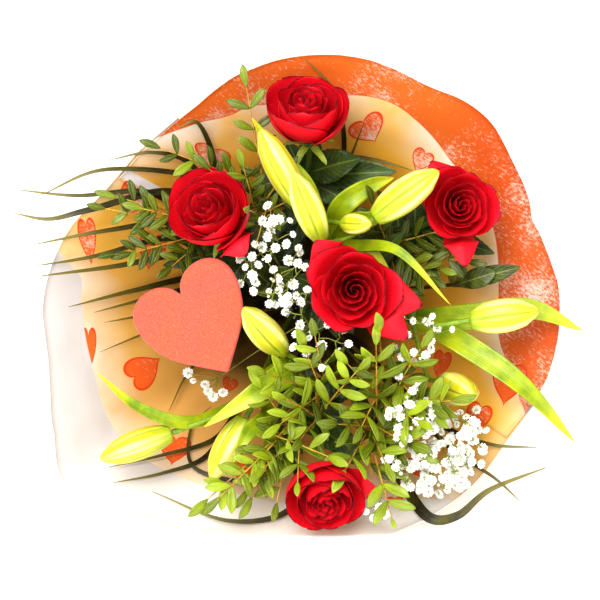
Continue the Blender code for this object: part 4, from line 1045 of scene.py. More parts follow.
def petal_surface(settings):
    """Velvety crimson with painted shade that darkens the foot of each petal, darker along the lip, with
    faint long veins.
    """
    def paint(graph):
        uv, place = graph.uv(), graph.local()
        along = graph.split(uv)[1]
        lines = graph.uses(stripes(), uv, 16.0)
        patch = graph.noise(place, 0.09, 3)
        uneven = graph.plus(along, graph.times(graph.noise(place, 0.35, 2), 0.05))
        # painted shade: each petal runs from a darker red at its foot, where the rose shades itself, to
        # crimson
        colour = graph.layers((*settings.foot_shade, 1), (graph.span(along, 0.2, 0.88), 1, (*settings.crimson, 1)),
                              (graph.span(patch, 0.4, 0.7), 0.35, shade(208, 20, 46)),
                              (graph.value("tone"), 0.5, shade(208, 18, 38)),
                              (lines, 0.14, shade(120, 0, 20)),
                              (graph.span(uneven, 0.965, 1.01), 0.8, shade(74, 2, 16)))
        height = graph.plus(lines, graph.times(graph.noise(place, 0.5, 3), 0.8))
        return colour, graph.span(patch, 0.3, 0.7, 0.42, 0.6), height
    return surface("rose_velvet", paint, bump=0.25, depth=0.3, Specular_IOR_Level=0.22)


def bud_surface(settings):
    """Lily bud: yellow-green, with painted highlights along the ridges, greener seams and fine lines along
    it.
    """
    def paint(graph):
        across, along = graph.split(graph.uv())[:2]
        turn = graph.math("COSINE", graph.times(across, 3 * math.tau))
        lines = graph.uses(stripes(), graph.uv(), 30.0)
        patch = graph.noise(graph.local(), 0.06, 3)
        # painted highlight: the ridges of the petals are made pale
        ridge = graph.times(graph.span(turn, 0.35, 0.7), graph.span(turn, 0.94, 0.99, 1, 0.35))
        colour = graph.layers((*settings.bud, 1), (ridge, 1, shade(238, 228, 142)),
                              (graph.span(turn, -0.55, -0.8, 0, 1), 0.5, shade(226, 216, 96)),
                              (graph.span(turn, -0.93, -0.99, 0, 1), 0.9, shade(142, 156, 10)),
                              (lines, 0.55, shade(190, 198, 18)),
                              (graph.span(along, 0.4, 0.0), 0.9, shade(138, 168, 26)),
                              (graph.span(along, 0.9, 1.0), 0.5, shade(186, 190, 40)),
                              (graph.span(patch, 0.45, 0.7), 0.3, shade(214, 216, 26)))
        return colour, graph.span(patch, 0.3, 0.7, 0.3, 0.45), lines
    return surface("lily_bud_skin", paint, bump=0.3, depth=0.25, Coat_Weight=0.15, Coat_Roughness=0.3)


def blade_surface(name, light, dark, count, tip, rough=(0.35, 0.5)):
    """A long leaf with parallel lines: lily leaves and grass."""
    def paint(graph):
        across, along = graph.split(graph.uv())[:2]
        lines = graph.uses(stripes(), graph.uv(), count)
        patch = graph.noise(graph.local(), 0.05, 4)
        side = graph.math("ABSOLUTE", graph.minus(across, 0.5))
        colour = graph.layers(light, (graph.span(patch, 0.35, 0.65), 1, dark),
                              (graph.value("tone"), 0.5, dark),
                              (lines, 0.4, dark), (graph.span(side, 0.03, 0.0), 0.5, light),
                              (graph.span(along, 0.7, 1.0), 0.8, tip))
        return colour, graph.span(patch, 0.3, 0.7, *rough), lines
    return surface(name, paint, bump=0.5, depth=0.3, Coat_Weight=0.12, Coat_Roughness=0.25)


def leaf_surface(name, light, dark, vein, pairs, slant, mottled=1.0):
    """A veined leaf: rose leaves, sepals, broad leaves and leaflets."""
    def paint(graph):
        place = graph.local()
        lines = graph.uses(veins(), graph.uv(), pairs, slant)
        patch = graph.noise(place, 0.08, 4)
        grit = graph.noise(place, 0.9, 3)
        colour = graph.layers(light, (graph.span(patch, 0.35, 0.65, 0, mottled), 1, dark),
                              (graph.value("tone"), 0.75, dark),
                              (graph.span(grit, 0.45, 0.7, 0, 0.3 * mottled), 1, dark),
                              (lines, 0.3 + 0.4 * mottled, vein))
        return colour, graph.span(patch, 0.3, 0.7, 0.35, 0.55), graph.minus(graph.times(grit, 0.4), lines)
    return surface(name, paint, bump=0.5, depth=0.35, Coat_Weight=0.1, Coat_Roughness=0.3)


def stem_surface(name, light, dark, cut):
    """A green or brown stem with long streaks, pale where it is cut."""
    def paint(graph):
        place = graph.local()
        streaks = graph.uses(grain(), place, 0.8)
        end = graph.span(graph.split(place)[2], STEM_END + 1.2, STEM_END + 0.4)
        colour = graph.layers(light, (streaks, 1, dark), (end, 1, cut))
        return colour, graph.span(streaks, 0, 1, 0.38, 0.6), streaks
    return surface(name, paint, bump=0.5, depth=0.3)


def blossom_surface(settings):
    """Chalky white blossoms with greenish-yellow depths."""
    def paint(graph):
        along = graph.split(graph.uv())[1]
        grit = graph.noise(graph.local(), 1.2, 3)
        colour = graph.layers(shade(214, 212, 140), (graph.span(along, 0.0, 0.5), 1, (*settings.blossom, 1)),
                              (graph.span(grit, 0.5, 0.72), 0.25, shade(226, 226, 214)))
        return colour, graph.span(grit, 0.3, 0.7, 0.6, 0.8), grit
    return surface("gypsophila_white", paint, bump=0.3, depth=0.2, Sheen_Weight=0.1)


def felt_surface(settings):
    """Salmon felt with fine mottling, its cut side a stronger red."""
    def paint(graph):
        place = graph.local()
        fluff = graph.noise(place, 0.7, 5, 0.75)
        specks = graph.noise(place, 1.4, 2, 0.6)
        broad = graph.noise(place, 0.03, 3)
        colour = graph.layers((*settings.felt, 1), (graph.span(broad, 0.35, 0.68), 1, shade(204, 74, 54)),
                              (graph.span(fluff, 0.45, 0.7), 0.4, shade(236, 140, 116)),
                              (graph.span(specks, 0.58, 0.7), 0.5, shade(196, 64, 46)),
                              (graph.value("tone"), 1, (*settings.side, 1)))
        height = graph.plus(fluff, graph.times(specks, 0.6))
        return colour, graph.span(fluff, 0.3, 0.7, 0.8, 0.95), height
    return surface("salmon_felt", paint, bump=0.5, depth=0.35, Sheen_Weight=0.3, Sheen_Roughness=0.6)


def jute_surface(settings):
    """Jute: straw brown with fine pale fibres."""
    def paint(graph):
        place = graph.local()
        fibre = graph.noise(graph.place(place, scale=(3, 3, 0.6)), 1.8, 5, 0.7)
        broad = graph.noise(place, 0.2, 3)
        colour = graph.layers((*settings.jute, 1), (graph.span(broad, 0.35, 0.65), 1, shade(150, 112, 62)),
                              (graph.span(fibre, 0.5, 0.7), 0.6, shade(222, 192, 138)))
        return colour, graph.span(fibre, 0.3, 0.7, 0.75, 0.95), fibre
    return surface("jute_twist", paint, bump=0.7, depth=0.4)


# Pieces

def resampled(route, radii, count):
    """A route and its radii, resampled on the smooth curve through it."""
    shares = np.linspace(0, 1, count)
    sizes = np.interp(shares, np.linspace(0, 1, len(radii)), radii)
    return [Vector(p) for p in smooth_line(route, shares)], list(sizes)


def paper_sheet(name, span, layer, border, settings):
    """One wrapping sheet: part of the pleated cone, with its lower rim laid flat on the surface."""
    columns = (span[1] - span[0]) * SHEET_COLUMNS
    low_rows, rows = SHEET_ROWS
    angles = np.linspace(span[0], span[1], columns + 1) * COLUMN
    heights = np.concatenate([np.linspace(TAIL, -NECK, low_rows), np.linspace(NECK, MOUTH, rows),
                              np.full(3, MOUTH)])
    over = np.concatenate([np.zeros(low_rows + rows), (0.34, 0.67, 1.0)])
    z, angle = np.meshgrid(heights, angles, indexing="ij")
    over = np.repeat(over[:, None], columns + 1, axis=1)
    fold = PLEAT_DEPTH * np.where(z > 0, 1 - ease(z / 150), 1.0)
    slope = np.where(z < MOUTH, (paper_radius(angle, z + 2) - paper_radius(angle, z - 2)) / 4, 1.0)
    radius = paper_radius(angle, z) * (1 + fold * np.cos(PLEATS * angle)) + layer * np.hypot(1, slope)
    below = ease((np.sin(angle) + 0.75) / -0.2)
    z = z + over * (1.5 + (LIP - 1.5) * below)
    radius = radius + (z - MOUTH).clip(0) * 0.25
    shape = np.stack([radius * np.cos(angle), radius * np.sin(angle), z], axis=-1)
    open_part = ease((z - 30) / 120)
    waves = ripple(shape, 110, 5) * 1.1 + ripple(shape, 38, 6) * 0.35 + 1.2
    crease = 2.6 * np.exp(-((angle - math.radians(19)) / 0.045) ** 2) * ease((z - 190) / 70)
    radius = radius - (waves.clip(0) * open_part + crease)
    shape = np.stack([radius * np.cos(angle), radius * np.sin(angle), z], axis=-1)
    world = moved(shape, TO_WORLD)
    floor = 0.0 if layer > 0 else (CAD_PAPER + SHEET_GAP) * MM
    world[..., 2] = world[..., 2].clip(floor)
    shape = moved(world, TO_LOCAL)
    scale = MM_PER_PIXEL * (EYE - shape[..., 2]) / (EYE - SEEN_AT)
    seen = np.stack([PHOTO / 2 + shape[..., 0] / scale, PHOTO / 2 - shape[..., 1] / scale], axis=-1)
    turn = np.arctan2(shape[..., 1], shape[..., 0])
    edge = np.hypot(seen[..., 0] - PHOTO / 2, seen[..., 1] - PHOTO / 2) - kraft_radius(turn)
    skin = Skin()
    skin.add(shape)
    skin.places = [seen.reshape(-1, 2) / PHOTO]
    piece = skin.build(name, paper_outside(settings), extra={"edge": edge.ravel()})
    piece.data.materials.append(paper_inside(name + "_print", border, settings))
    wall = piece.modifiers.new("thickness", "SOLIDIFY")
    wall.thickness = settings.thickness
    wall.offset = -1
    wall.material_offset = 1
    wall.material_offset_rim = 1
    return plain(piece)


def tie(name, settings):
    """Two turns of twisted jute round the gathered paper, each of three strands."""
    runs = []
    middle = CAD_PAPER + SHEET_GAP + CORD_GAP + CORD
    for level in (-CORD_LEVEL, CORD_LEVEL):
        for strand in range(3):
            points = []
            for k in range(CORD_POINTS + 1):
                angle = math.tau * k / CORD_POINTS
                wind = angle * CORD_TWISTS + math.tau * strand / 3
                reach = THROAT * (1 + PLEAT_DEPTH * math.cos(PLEATS * angle)) + middle
                reach += STRAND_REACH * math.cos(wind)
                points.append((reach * math.cos(angle), reach * math.sin(angle),
                               level + STRAND_REACH * math.sin(wind)))
            runs.append((points, [STRAND] * len(points)))
    return tubes(name, runs, jute_surface(settings), sides=7)


def rose_head(name, settings):
    """A rose: a tight spiral heart, wider petals round it with rolled lips, and its loose petals."""
    middle, facing, scale, open_share, loose = ROSES[name]
    rng = np.random.default_rng(int(name[-1]) * 7 + 1)
    base = Vector(middle) - Vector(facing).normalized() * HEAD_BELOW * scale
    place = facing_matrix(base, facing)
    skin = Skin()
    inner, outer = settings.inner, settings.outer
    petals = [(k * GOLDEN, -0.2 + 0.68 * (k + 0.5) / inner) for k in range(inner)]
    petals += [((inner + k) * GOLDEN, 0.52 + 0.48 * k / (outer - 1)) for k in range(outer)]
    for angle, layer in petals:
        reach = max(layer, 0.0)
        guard = layer > 0.5
        opened = open_share if guard else 0.6
        wide = math.radians(215 - 75 * reach + (30 if guard else 0) * (1 - opened) + rng.uniform(-12, 12))
        flare = (9 if layer > 0.85 else 5) * reach ** 2 * opened
        up, across = np.meshgrid(np.linspace(0, 1, 21), np.linspace(-1, 1, 23), indexing="ij")
        point = 0.07 * reach * np.exp(-(across / 0.22) ** 2) * rng.uniform(0.2, 1.3)
        t = up * (1 - 0.2 * np.abs(across) ** 2.5 * up + point * up)
        spread = wide / 2 * (0.55 + 0.45 * np.sin(math.pi * np.minimum(t + 0.12, 1)))
        turn = angle + across * spread
        foot = min(4.0, 1.0 + 7 * (layer + 0.2))
        belly = 5.5 + 20 * layer + (8.5 * (1 - opened) * (2 * layer - 0.7) if guard else 0)
        low = max(11.5 * (1 - reach), 0) + 1.0
        high = 46.5 - (10 if layer > 0.85 else 7) * reach * (0.45 + 0.55 * opened)
        high = high - 3.0 * max(-layer, 0) / 0.2 + rng.uniform(-0.7, 0.7)
        radius = foot + (belly - foot) * (1 - (1 - t) ** 2.2) + flare * t ** 4
        radius = radius - (4.5 * (1 - opened) * t ** 3 if guard else 0)
        radius = radius - (1.1 + 1.4 * reach) * across * ease(t * 1.4)
        wave = rng.uniform(0, 6, 4)
        ruffle = np.sin(across * (2.4 + 1.5 * reach) + wave[0]) + 0.35 * np.sin(across * 7 + wave[1])
        radius = radius + ruffle * (0.25 + 0.8 * reach * opened) * t ** 3
        roll = ease((t - 0.8) / 0.2) * (0.4 + 3.0 * reach ** 1.5)
        roll = roll * (0.75 + 0.25 * np.sin(across * 4 + wave[2])) * (0.35 + 0.65 * opened)
        height = low + (high - low) * t - 0.25 * flare * t ** 6
        radius = radius + roll
        height = height - roll * 0.5 + 0.45 * np.sin(across * 6 + wave[3]) * t ** 4
        grid = np.stack([radius * np.cos(turn), radius * np.sin(turn), height], axis=-1) * scale
        skin.add(moved(grid, place), tone=rng.uniform(0, 1) * (1 - 0.4 * reach))
    for degrees, length, flare in loose:
        out = outward(math.radians(degrees))
        line = [out * 5 + upright(3), out * 25 + upright(17), out * 31 + upright(27),
                out * (29 + flare) + upright(36 * length * 0.82 - 0.3 * flare)]
        grid = leaf_grid(line, 15.0, (0, 0, 1), lambda s: lens(s, 0.52, 0.3, 0.04), 24, 12, -0.22, 0.06,
                         int(degrees) + 200)
        skin.add(moved(grid * scale, place), tone=rng.uniform(0.5, 1.0))
    return skin.build(name + "_petals", petal_surface(settings), thickness=settings.petal / MM)


def lily_bud(name, settings):
    """A closed lily bud: three broad petals that meet in seams, from its foot to its blunt tip."""
    _, base, tip, widest = LILY_BUDS[name]
    base, tip = Vector(base), Vector(tip)
    length = (tip - base).length
    share, turn = np.meshgrid(np.linspace(0, 1, 49), np.linspace(0, math.tau, 97), indexing="ij")
    body = 0.24 + 0.76 * np.sin(math.pi * np.minimum(share * 0.86 + 0.10, 1)) ** 0.8
    body = body * np.where(share > 0.8, 1 - 0.42 * (share - 0.8) / 0.2, 1)
    close = np.sqrt(np.clip(1 - ((share - 0.93) / 0.07).clip(0) ** 2, 0, 1))
    foot = np.sqrt(np.clip(1 - (1 - share / 0.03).clip(0) ** 2, 0, 1))
    third = (turn + math.pi / 3) % (math.tau / 3) - math.pi / 3
    seam = np.exp(-((np.abs(third) - math.pi / 3) / 0.09) ** 2)
    ridge = 0.08 * np.cos(3 * turn) + 0.07 * np.exp(-(third / 0.11) ** 2) - 0.13 * seam
    ridge = ridge - 0.03 * np.exp(-((np.abs(third) - 0.3) / 0.1) ** 2)
    bend = 0.9 * np.sin(share * math.pi)
    reach = widest * body * (1 + ridge * ease(share * 5)) * close * foot
    grid = np.stack([reach * np.cos(turn) + bend, reach * np.sin(turn), share * length], axis=-1)
    skin = Skin()
    skin.add(moved(grid, facing_matrix(base, tip - base)))
    return skin.build(name + "_skin", bud_surface(settings), closed=True)


def heart_piece(name, settings):
    """The felt heart: slightly uneven faces, soft edges and a straight cut side."""
    half_way = smooth_line([(x, y, 0) for x, y in HEART_HALF], np.linspace(0, 1, 91))[:, :2]
    outline = np.concatenate([half_way, half_way[-2::-1] * (-1, 1)])
    half = HEART_THICK / 2
    profile = [(r, half, 0.0) for r in np.linspace(0, 0.955, 22)]
    profile += [(0.975, half - 0.25, 0.0), (0.986, half - 0.6, 0.7), (0.998, half - 1.6, 1.0), (1.0, 0, 1.0)]
    profile += [(r, -z, side) for r, z, side in reversed(profile[:-1])]
    grid, tones = [], []
    for reach, z, side in profile:
        grid.append(np.concatenate([outline * reach, np.full((len(outline), 1), z)], axis=1))
        tones.append(np.full(len(outline), side))
    grid = np.array(grid)
    grid[..., 2] += 0.12 * ripple(grid, 9, 3) * (np.abs(grid[..., 2]) > half - 0.1)
    skin = Skin()
    skin.add(moved(grid, facing_matrix(HEART_MIDDLE, HEART_FACING, HEART_TURN)), np.concatenate(tones))
    return skin.build(name, felt_surface(settings), closed=True)


def stem_sizes(name, *upper):
    """A stem's radii: thicker at its cut end, then even, then those given."""
    return [stem_radius(name) * END_SWELL, stem_radius(name), *upper]


def bark_stem(name, route, radii, bark, count=46, sides=12):
    """One round stem along a smooth route."""
    return tubes(name, [resampled(route, radii, count)], bark, sides)


def plain_route(name, top):
    """The route of a stem that runs straight to a height."""
    ROUTES[name] = [stem_point(name, z) for z in (*STEM_HEIGHTS, top)]
    return ROUTES[name]


def anywhere(rng, reach):
    """A random step of up to reach along each axis."""
    return Vector([rng.uniform(-reach, reach) for _ in range(3)])


def bent(base, tip, sag, rng, shift):
    """A short smooth route between two points that wanders a little."""
    base, tip = Vector(base), Vector(tip)
    off = anywhere(rng, shift)
    return (base, base.lerp(tip, 0.35) + off, base.lerp(tip, 0.7) - off * 0.5 + upright(sag), tip)


def own_leaves(table, name):
    """The leaves of a table that a stem has, each with its number, its arched route and half width."""
    for k, (node, z, tip, half_width) in enumerate(table):
        if node == name:
            root = on_stem(name, z)
            ends = [Vector(tip) + upright(lift) for lift in LEAF_LIFTS]
            line = settled(name, [(root, root.lerp(end, 0.5) + upright(9), end) for end in ends])
            if line:
                yield k, line, half_width


def arched(start, first, end):
    """A rib's route: from the fork to the leaf's root, and in an arch to its end."""
    return (start, first, first.lerp(end, 0.5) + upright((end - first).length * 0.1), end)


def blade_outline(shares):
    """Grass blade outline: narrow at its foot, then even, then drawn out to its tip."""
    return np.where(shares < 0.15, 0.6 + 2.6 * shares, 1) * np.clip((1 - shares) / 0.45, 0.02, 1) ** 0.7


def serrated(shares, widest=0.42):
    """Leaf outline with small teeth that point to the tip."""
    teeth = 1 - 0.09 * ((shares * 15) % 1.0)
    return lens(shares, widest, 0.06, 0.02) * np.where((shares > 0.12) & (shares < 0.96), teeth, 1)


def under_leaves(leaves, name, count, low, high, rng):
    """Leaves low in the bunch, in the shade between the stems, with darker tones: dark leaves put there as
    painted shade.
    """
    made = 0
    for k in range(count * 12):
        root = on_stem(name, rng.uniform(low, high - 34))
        angle = rng.uniform(0, math.tau)
        reach = rng.uniform(30, 50)
        tip = root + Vector((math.cos(angle) * reach, math.sin(angle) * reach, rng.uniform(4, 34)))
        middle = root.lerp(tip, 0.5) + upright(8)
        inside = math.hypot(tip.x, tip.y) < paper_radius(math.atan2(tip.y, tip.x), min(tip.z, MOUTH)) - 14
        if made < count and inside and clear((middle, tip), 6.0):
            # painted shade: these leaves take darker tones than the rose's own leaves
            leaves.add(leaf_grid((root, middle, tip), rng.uniform(10, 14), (0, 0, 1), serrated, 40, 6, 0.22,
                                 0.12, k), rng.uniform(0.5, 1.0))
            made += 1


def rose_stem(name, greens):
    """A rose's stem with its hip, sepals, thorns and serrated leaves."""
    middle, facing, scale = ROSES[name.replace("rose_stem", "rose")][:3]
    facing = Vector(facing).normalized()
    base = Vector(middle) - facing * HEAD_BELOW * scale
    depth = 9 * scale
    route = stem_route(name, base - facing * (depth * 0.6 + GAP), facing)
    rng = random.Random(name)
    green = stem_surface("rose_bark", shade(96, 122, 34), shade(58, 84, 24), shade(206, 214, 150))
    even = [stem_radius(name)] * (len(route) - 3)
    runs = [resampled(route, stem_sizes(name, *even, 2.2), 60)]
    hip = [base - facing * (GAP + depth * share) for share in (1.0, 0.85, 0.55, 0.25, 0.05, 0.0)]
    runs.append((hip, [2.3 * scale, 3.0 * scale, 4.0 * scale, 4.7 * scale, 4.8 * scale, 4.2 * scale]))
    for z in THORN_HEIGHTS:
        at = on_stem(name, z + rng.uniform(-8, 8))
        out = outward(rng.uniform(0, math.tau))
        if abs(at.z) > 32:
            thorn = [at + out * 1.8, at + out * 4.2 - upright(0.6), at + out * 6 - upright(1.6)]
            runs.append((thorn, [1.5, 0.7, 0.12]))
    placed(tubes(name + "_stalk", runs, green, 10), "rose_green", name)
    turn = facing_matrix(base, facing).to_3x3()
    sepals = Skin()
    for k in range(5):
        out = turn @ outward(math.tau * (k + 0.3) / 5)
        start = base - facing * (GAP + 2.6 + 0.3 * k)
        drop = 5 + 3 * (k % 2)
        line = (start + out * 2, start + out * 10 - facing * 1.5, start + out * 20 - facing * drop)
        if settled(name, [line], 2.5):
            line = (*line, start + out * 24 - facing * (drop + 3))
            sepals.add(leaf_grid(line, 3.1 * scale, facing, lambda s: lens(s, 0.2, 0.7, 0.02), 14, 6, 0.5,
                                 0.1, k), rng.random())
    if sepals.count:
        green = leaf_surface("sepal_skin", shade(190, 204, 60), shade(120, 150, 36), shade(220, 226, 130),
                             50.0, 0.3)
        placed(sepals.build(name + "_sepals", green, thickness=0.5), "rose_green", name)
    leaves = Skin()
    for k, line, half_width in own_leaves(ROSE_LEAVES, name):
        leaves.add(leaf_grid(line, half_width * 0.95, (0, 0, 1), serrated, 60, 8, 0.22, 0.12, k),
                   rng.uniform(0, 0.6))
    under_leaves(leaves, name, greens.under, 150, 262, rng)
    if leaves.count:
        dark = leaf_surface("rose_leaf_skin", shade(72, 98, 30), shade(30, 52, 16), shade(120, 140, 60),
                            70.0, 0.55)
        placed(leaves.build(name + "_leaves", dark, thickness=greens.leaf / MM), "rose_green", name)


def lily_stem(name, settings):
    """A lily's stem, the stalks of its buds, and its long leaves."""
    node = Vector(LILY_NODES[name])
    route = stem_route(name, node)
    runs = [resampled(route, stem_sizes(name, *[stem_radius(name)] * (len(route) - 2)), 50)]
    for stem, base, tip, _ in LILY_BUDS.values():
        if stem == name:
            base, tip = Vector(base), Vector(tip)
            into = (tip - base).normalized()
            end = base - into * GAP
            rise = (end - node).length
            line = (node - upright(3), node + upright(rise * 0.35), end - into * rise * 0.4, end)
            runs.append(resampled(line, [2.1, 2.0, 1.9, 2.5], 16))
    green = stem_surface("lily_stalk", shade(150, 176, 40), shade(96, 128, 26), shade(214, 222, 150))
    placed(tubes(name + "_stalk", runs, green, 12), "lily_green", name)
    leaves = Skin()
    for k, (stem, line, half_width, facing) in enumerate(LILY_LEAVES):
        if stem != name:
            continue
        routes = []
        for lift in LILY_LIFTS:
            lifted = [Vector(p) + upright(lift * i / 3) for i, p in enumerate(line)]
            lifted[0] = on_stem(name, line[0][2])
            routes.append(lifted)
        line = settled(name, routes)
        if not line and k in EXTRA_LILY_LEAVES:
            line = routes[0]
        if line:
            leaves.add(leaf_grid(line, half_width * 1.05, facing, lambda s: lens(s, 0.36, 0.28, 0.015), 46,
                                 10, 0.3, 0.07, k), 0.15 * (k % 4))
    green = blade_surface("lily_leaf_skin", (*settings.leaf, 1), shade(116, 144, 12), 9.0,
                          shade(220, 218, 56))
    placed(leaves.build(name + "_leaves", green, thickness=0.6), "lily_green", name)


def grass_bunch(name, greens):
    """Thin blades from one sheath, up the inside of the paper and out over its rim."""
    sheath = [stem_point(name, z) for z in (STEM_END, 0, SHEATH_TOP)]
    ROUTES[name] = sheath
    brown = stem_surface("grass_sheath", shade(104, 110, 48), shade(64, 70, 28), shade(190, 190, 130))
    placed(bark_stem(name + "_sheath", sheath, stem_sizes(name, 2.0), brown, 24), "grass", name)
    skin = Skin()
    rng = random.Random(name)
    for k, (points, half_width) in enumerate(GRASS[name]):
        routes = []
        for lift in GRASS_LIFTS:
            line = [on_stem(name, SHEATH_TOP - 12)]
            first = Vector((*points[0], 0))
            for share in (0.38, 0.7):
                flat = line[0].lerp(first, share)
                height = paper_height(flat.x, flat.y) + GRASS_IN_CONE + lift * share
                line.append(Vector((flat.x, flat.y, height)))
            for x, y in points:
                rim = math.hypot(x, y) > rim_radius(math.atan2(y, x)) * 0.9
                over = (GRASS_OVER_RIM if rim else GRASS_IN_CONE) + lift
                line.append(Vector((x, y, paper_height(x, y) + over)))
            routes.append(line)
        line = settled(name, routes)
        if line:
            broad = half_width > BROAD_BLADE
            wide = half_width * (1.6 if broad else 1.35)
            blade = leaf_grid(line, wide, (0, 0, 1), blade_outline, 70, 4, 0.4, 0.03, k)
            skin.add(blade, 0.0 if broad else rng.uniform(0.4, 1))
    green = blade_surface("grass_blade", (*greens.grass, 1), shade(34, 30, 8), 3.0, shade(152, 140, 60),
                          (0.4, 0.6))
    placed(skin.build(name + "_blades", green, thickness=0.5), "grass", name)


def leaflet_shape():
    """One leaflet of unit length, along y, folded a little along its rib."""
    skin = Skin()
    route = ((0, 0, 0), (0, 0.35, 0.035), (0, 0.7, 0.03), (0, 1, -0.05))
    skin.add(leaf_grid(route, 0.175, (0, 0, 1), lambda s: lens(s, 0.56, 0.12, 0.1), 9, 4, 0.24))
    return skin.build("leaflet", thickness=0.03, frame_matrix=Matrix())


def spray(name, leaflet, greens):
    """A branch of paired leaflets on thin reddish ribs."""
    route = plain_route(name, HEADS[name].z - FORK_BELOW)
    rng = random.Random(name)
    stems = [resampled(route, stem_sizes(name, 2.2, 1.9, 1.6), 46)]
    ribs, leaflets = [], []
    start = on_stem(name, route[-1].z - 5)
    lines = []
    for root, tip, pairs in SPRAYS[name]:
        routes = []
        for side in (0, 0.25):
            for lift in RIB_LIFTS:
                first, end = Vector(root), Vector(tip) + upright(lift)
                end += (end - first).cross(upright(1)).normalized() * side * 30
                routes.append(arched(start, first, end))
        lines.append((settled(name, routes), pairs + 1))
    for root, tip, pairs in MORE_LEAVES[name]:
        first = photo_place(*root)
        for lift in MORE_LIFTS:
            line = arched(start, first, photo_place(*tip) + upright(lift))
            if clear(smooth_line(line, (0.4, 0.55, 0.7, 0.85, 1.0)), 3.5):
                lines.append((line, pairs))
                break
    for line, pairs in lines:
        if not line:
            continue
        ribs.append(resampled(line, [1.1, 0.9, 0.7, 0.45], 22))
        leafy = (line[3] - line[1]).length
        size = max(min(LEAFLET, leafy * 0.42), 15) * LEAFLET_SIZES.get(name, 1.0)
        wide = (line[3] - line[1]).cross(upright(1)).normalized()
        for pair in range(pairs + 1):
            share = (1 + 2 * (0.02 + 0.93 * pair / pairs)) / 3
            here, ahead, behind = (Vector(p) for p in smooth_line(line, (share, share + 0.02, share - 0.02)))
            forward = (ahead - behind).normalized()
            for side in (-1, 1):
                lean = math.radians(rng.uniform(26, 50))
                grow = size * (1.0 - 0.25 * abs(pair / pairs - 0.45)) * rng.uniform(0.85, 1.12)
                axis = (forward * math.sin(lean) + wide * side * math.cos(lean)).normalized()
                if pair == pairs:
                    if side < 0:
                        continue
                    axis = forward
                axis = (axis + Vector((0, 0, rng.uniform(-0.15, 0.35)))).normalized()
                up = (wide.cross(forward) + anywhere(rng, 0.4)).normalized()
                cross = axis.cross(up).normalized()
                turn = Matrix((cross, axis, cross.cross(axis))).transposed()
                while grow > 5 and not in_box(here + axis * grow):
                    grow *= 0.85
                if clear((here, here + axis * grow * 0.6, here + axis * grow), 1.5, 4.0):
                    shaded = min(max((DEEP_LEAFLETS - here.z) / 36, 0), 1)
                    dark = rng.uniform(0, 1) ** 1.3 + 0.6 * shaded + (0.35 if name in DARK_SPRAYS else 0)
                    leaflets.append((here, turn, grow, min(dark, 1.25)))
    red = stem_surface("spray_rib", shade(204, 184, 58), shade(160, 88, 44), shade(190, 160, 110))
    bark = stem_surface("spray_bark", shade(120, 110, 52), shade(78, 74, 34), shade(206, 206, 150))
    placed(tubes(name + "_stalk", stems, bark, 10), "spray_green", name)
    placed(tubes(name + "_ribs", ribs, red, 6), "spray_green", name)
    green = leaf_surface("leaflet_skin", (*greens.leaflet, 1), shade(54, 66, 6), shade(176, 190, 50), 20.0,
                         0.9, 0.35)
    placed(scattered(name + "_leaflets", leaflet, leaflets, green), "spray_green", name)


def blossom_shape():
    """A ragged double blossom of unit radius: three rings of little petals."""
    skin = Skin()
    rng = np.random.default_rng(4)
    for ring, (count, lift, reach) in enumerate(((6, 0.15, 1.0), (5, 0.7, 0.75), (3, 1.25, 0.4))):
        for k in range(count):
            angle = math.tau * (k + 0.37 * ring) / count + rng.uniform(-0.2, 0.2)
            out = np.array([math.cos(angle), math.sin(angle), 0.0])
            side = np.array([-math.sin(angle), math.cos(angle), 0.0])
            up = np.array([0, 0, 1.0])
            rows = []
            for share, width in ((0.05, 0.16), (0.6, 0.46), (1.0, 0.4)):
                middle = out * reach * share * math.cos(lift) + up * (share * reach * math.sin(lift) - 0.3)
                notch = out * -0.14 if share == 1.0 else 0
                rows.append([middle - side * width * reach, middle + notch + up * 0.06,
                             middle + side * width * reach])
            skin.add(np.array(rows))
    return skin.build("blossom", frame_matrix=Matrix())


def bud_shape():
    """A round unopened blossom of unit radius."""
    share, turn = np.meshgrid(np.linspace(0, math.pi, 5), np.linspace(0, math.tau, 7), indexing="ij")
    grid = np.stack([np.sin(share) * np.cos(turn), np.sin(share) * np.sin(turn), np.cos(share) * 1.15],
                    axis=-1)
    skin = Skin()
    skin.add(grid)
    return skin.build("round_bud", closed=True, frame_matrix=Matrix())


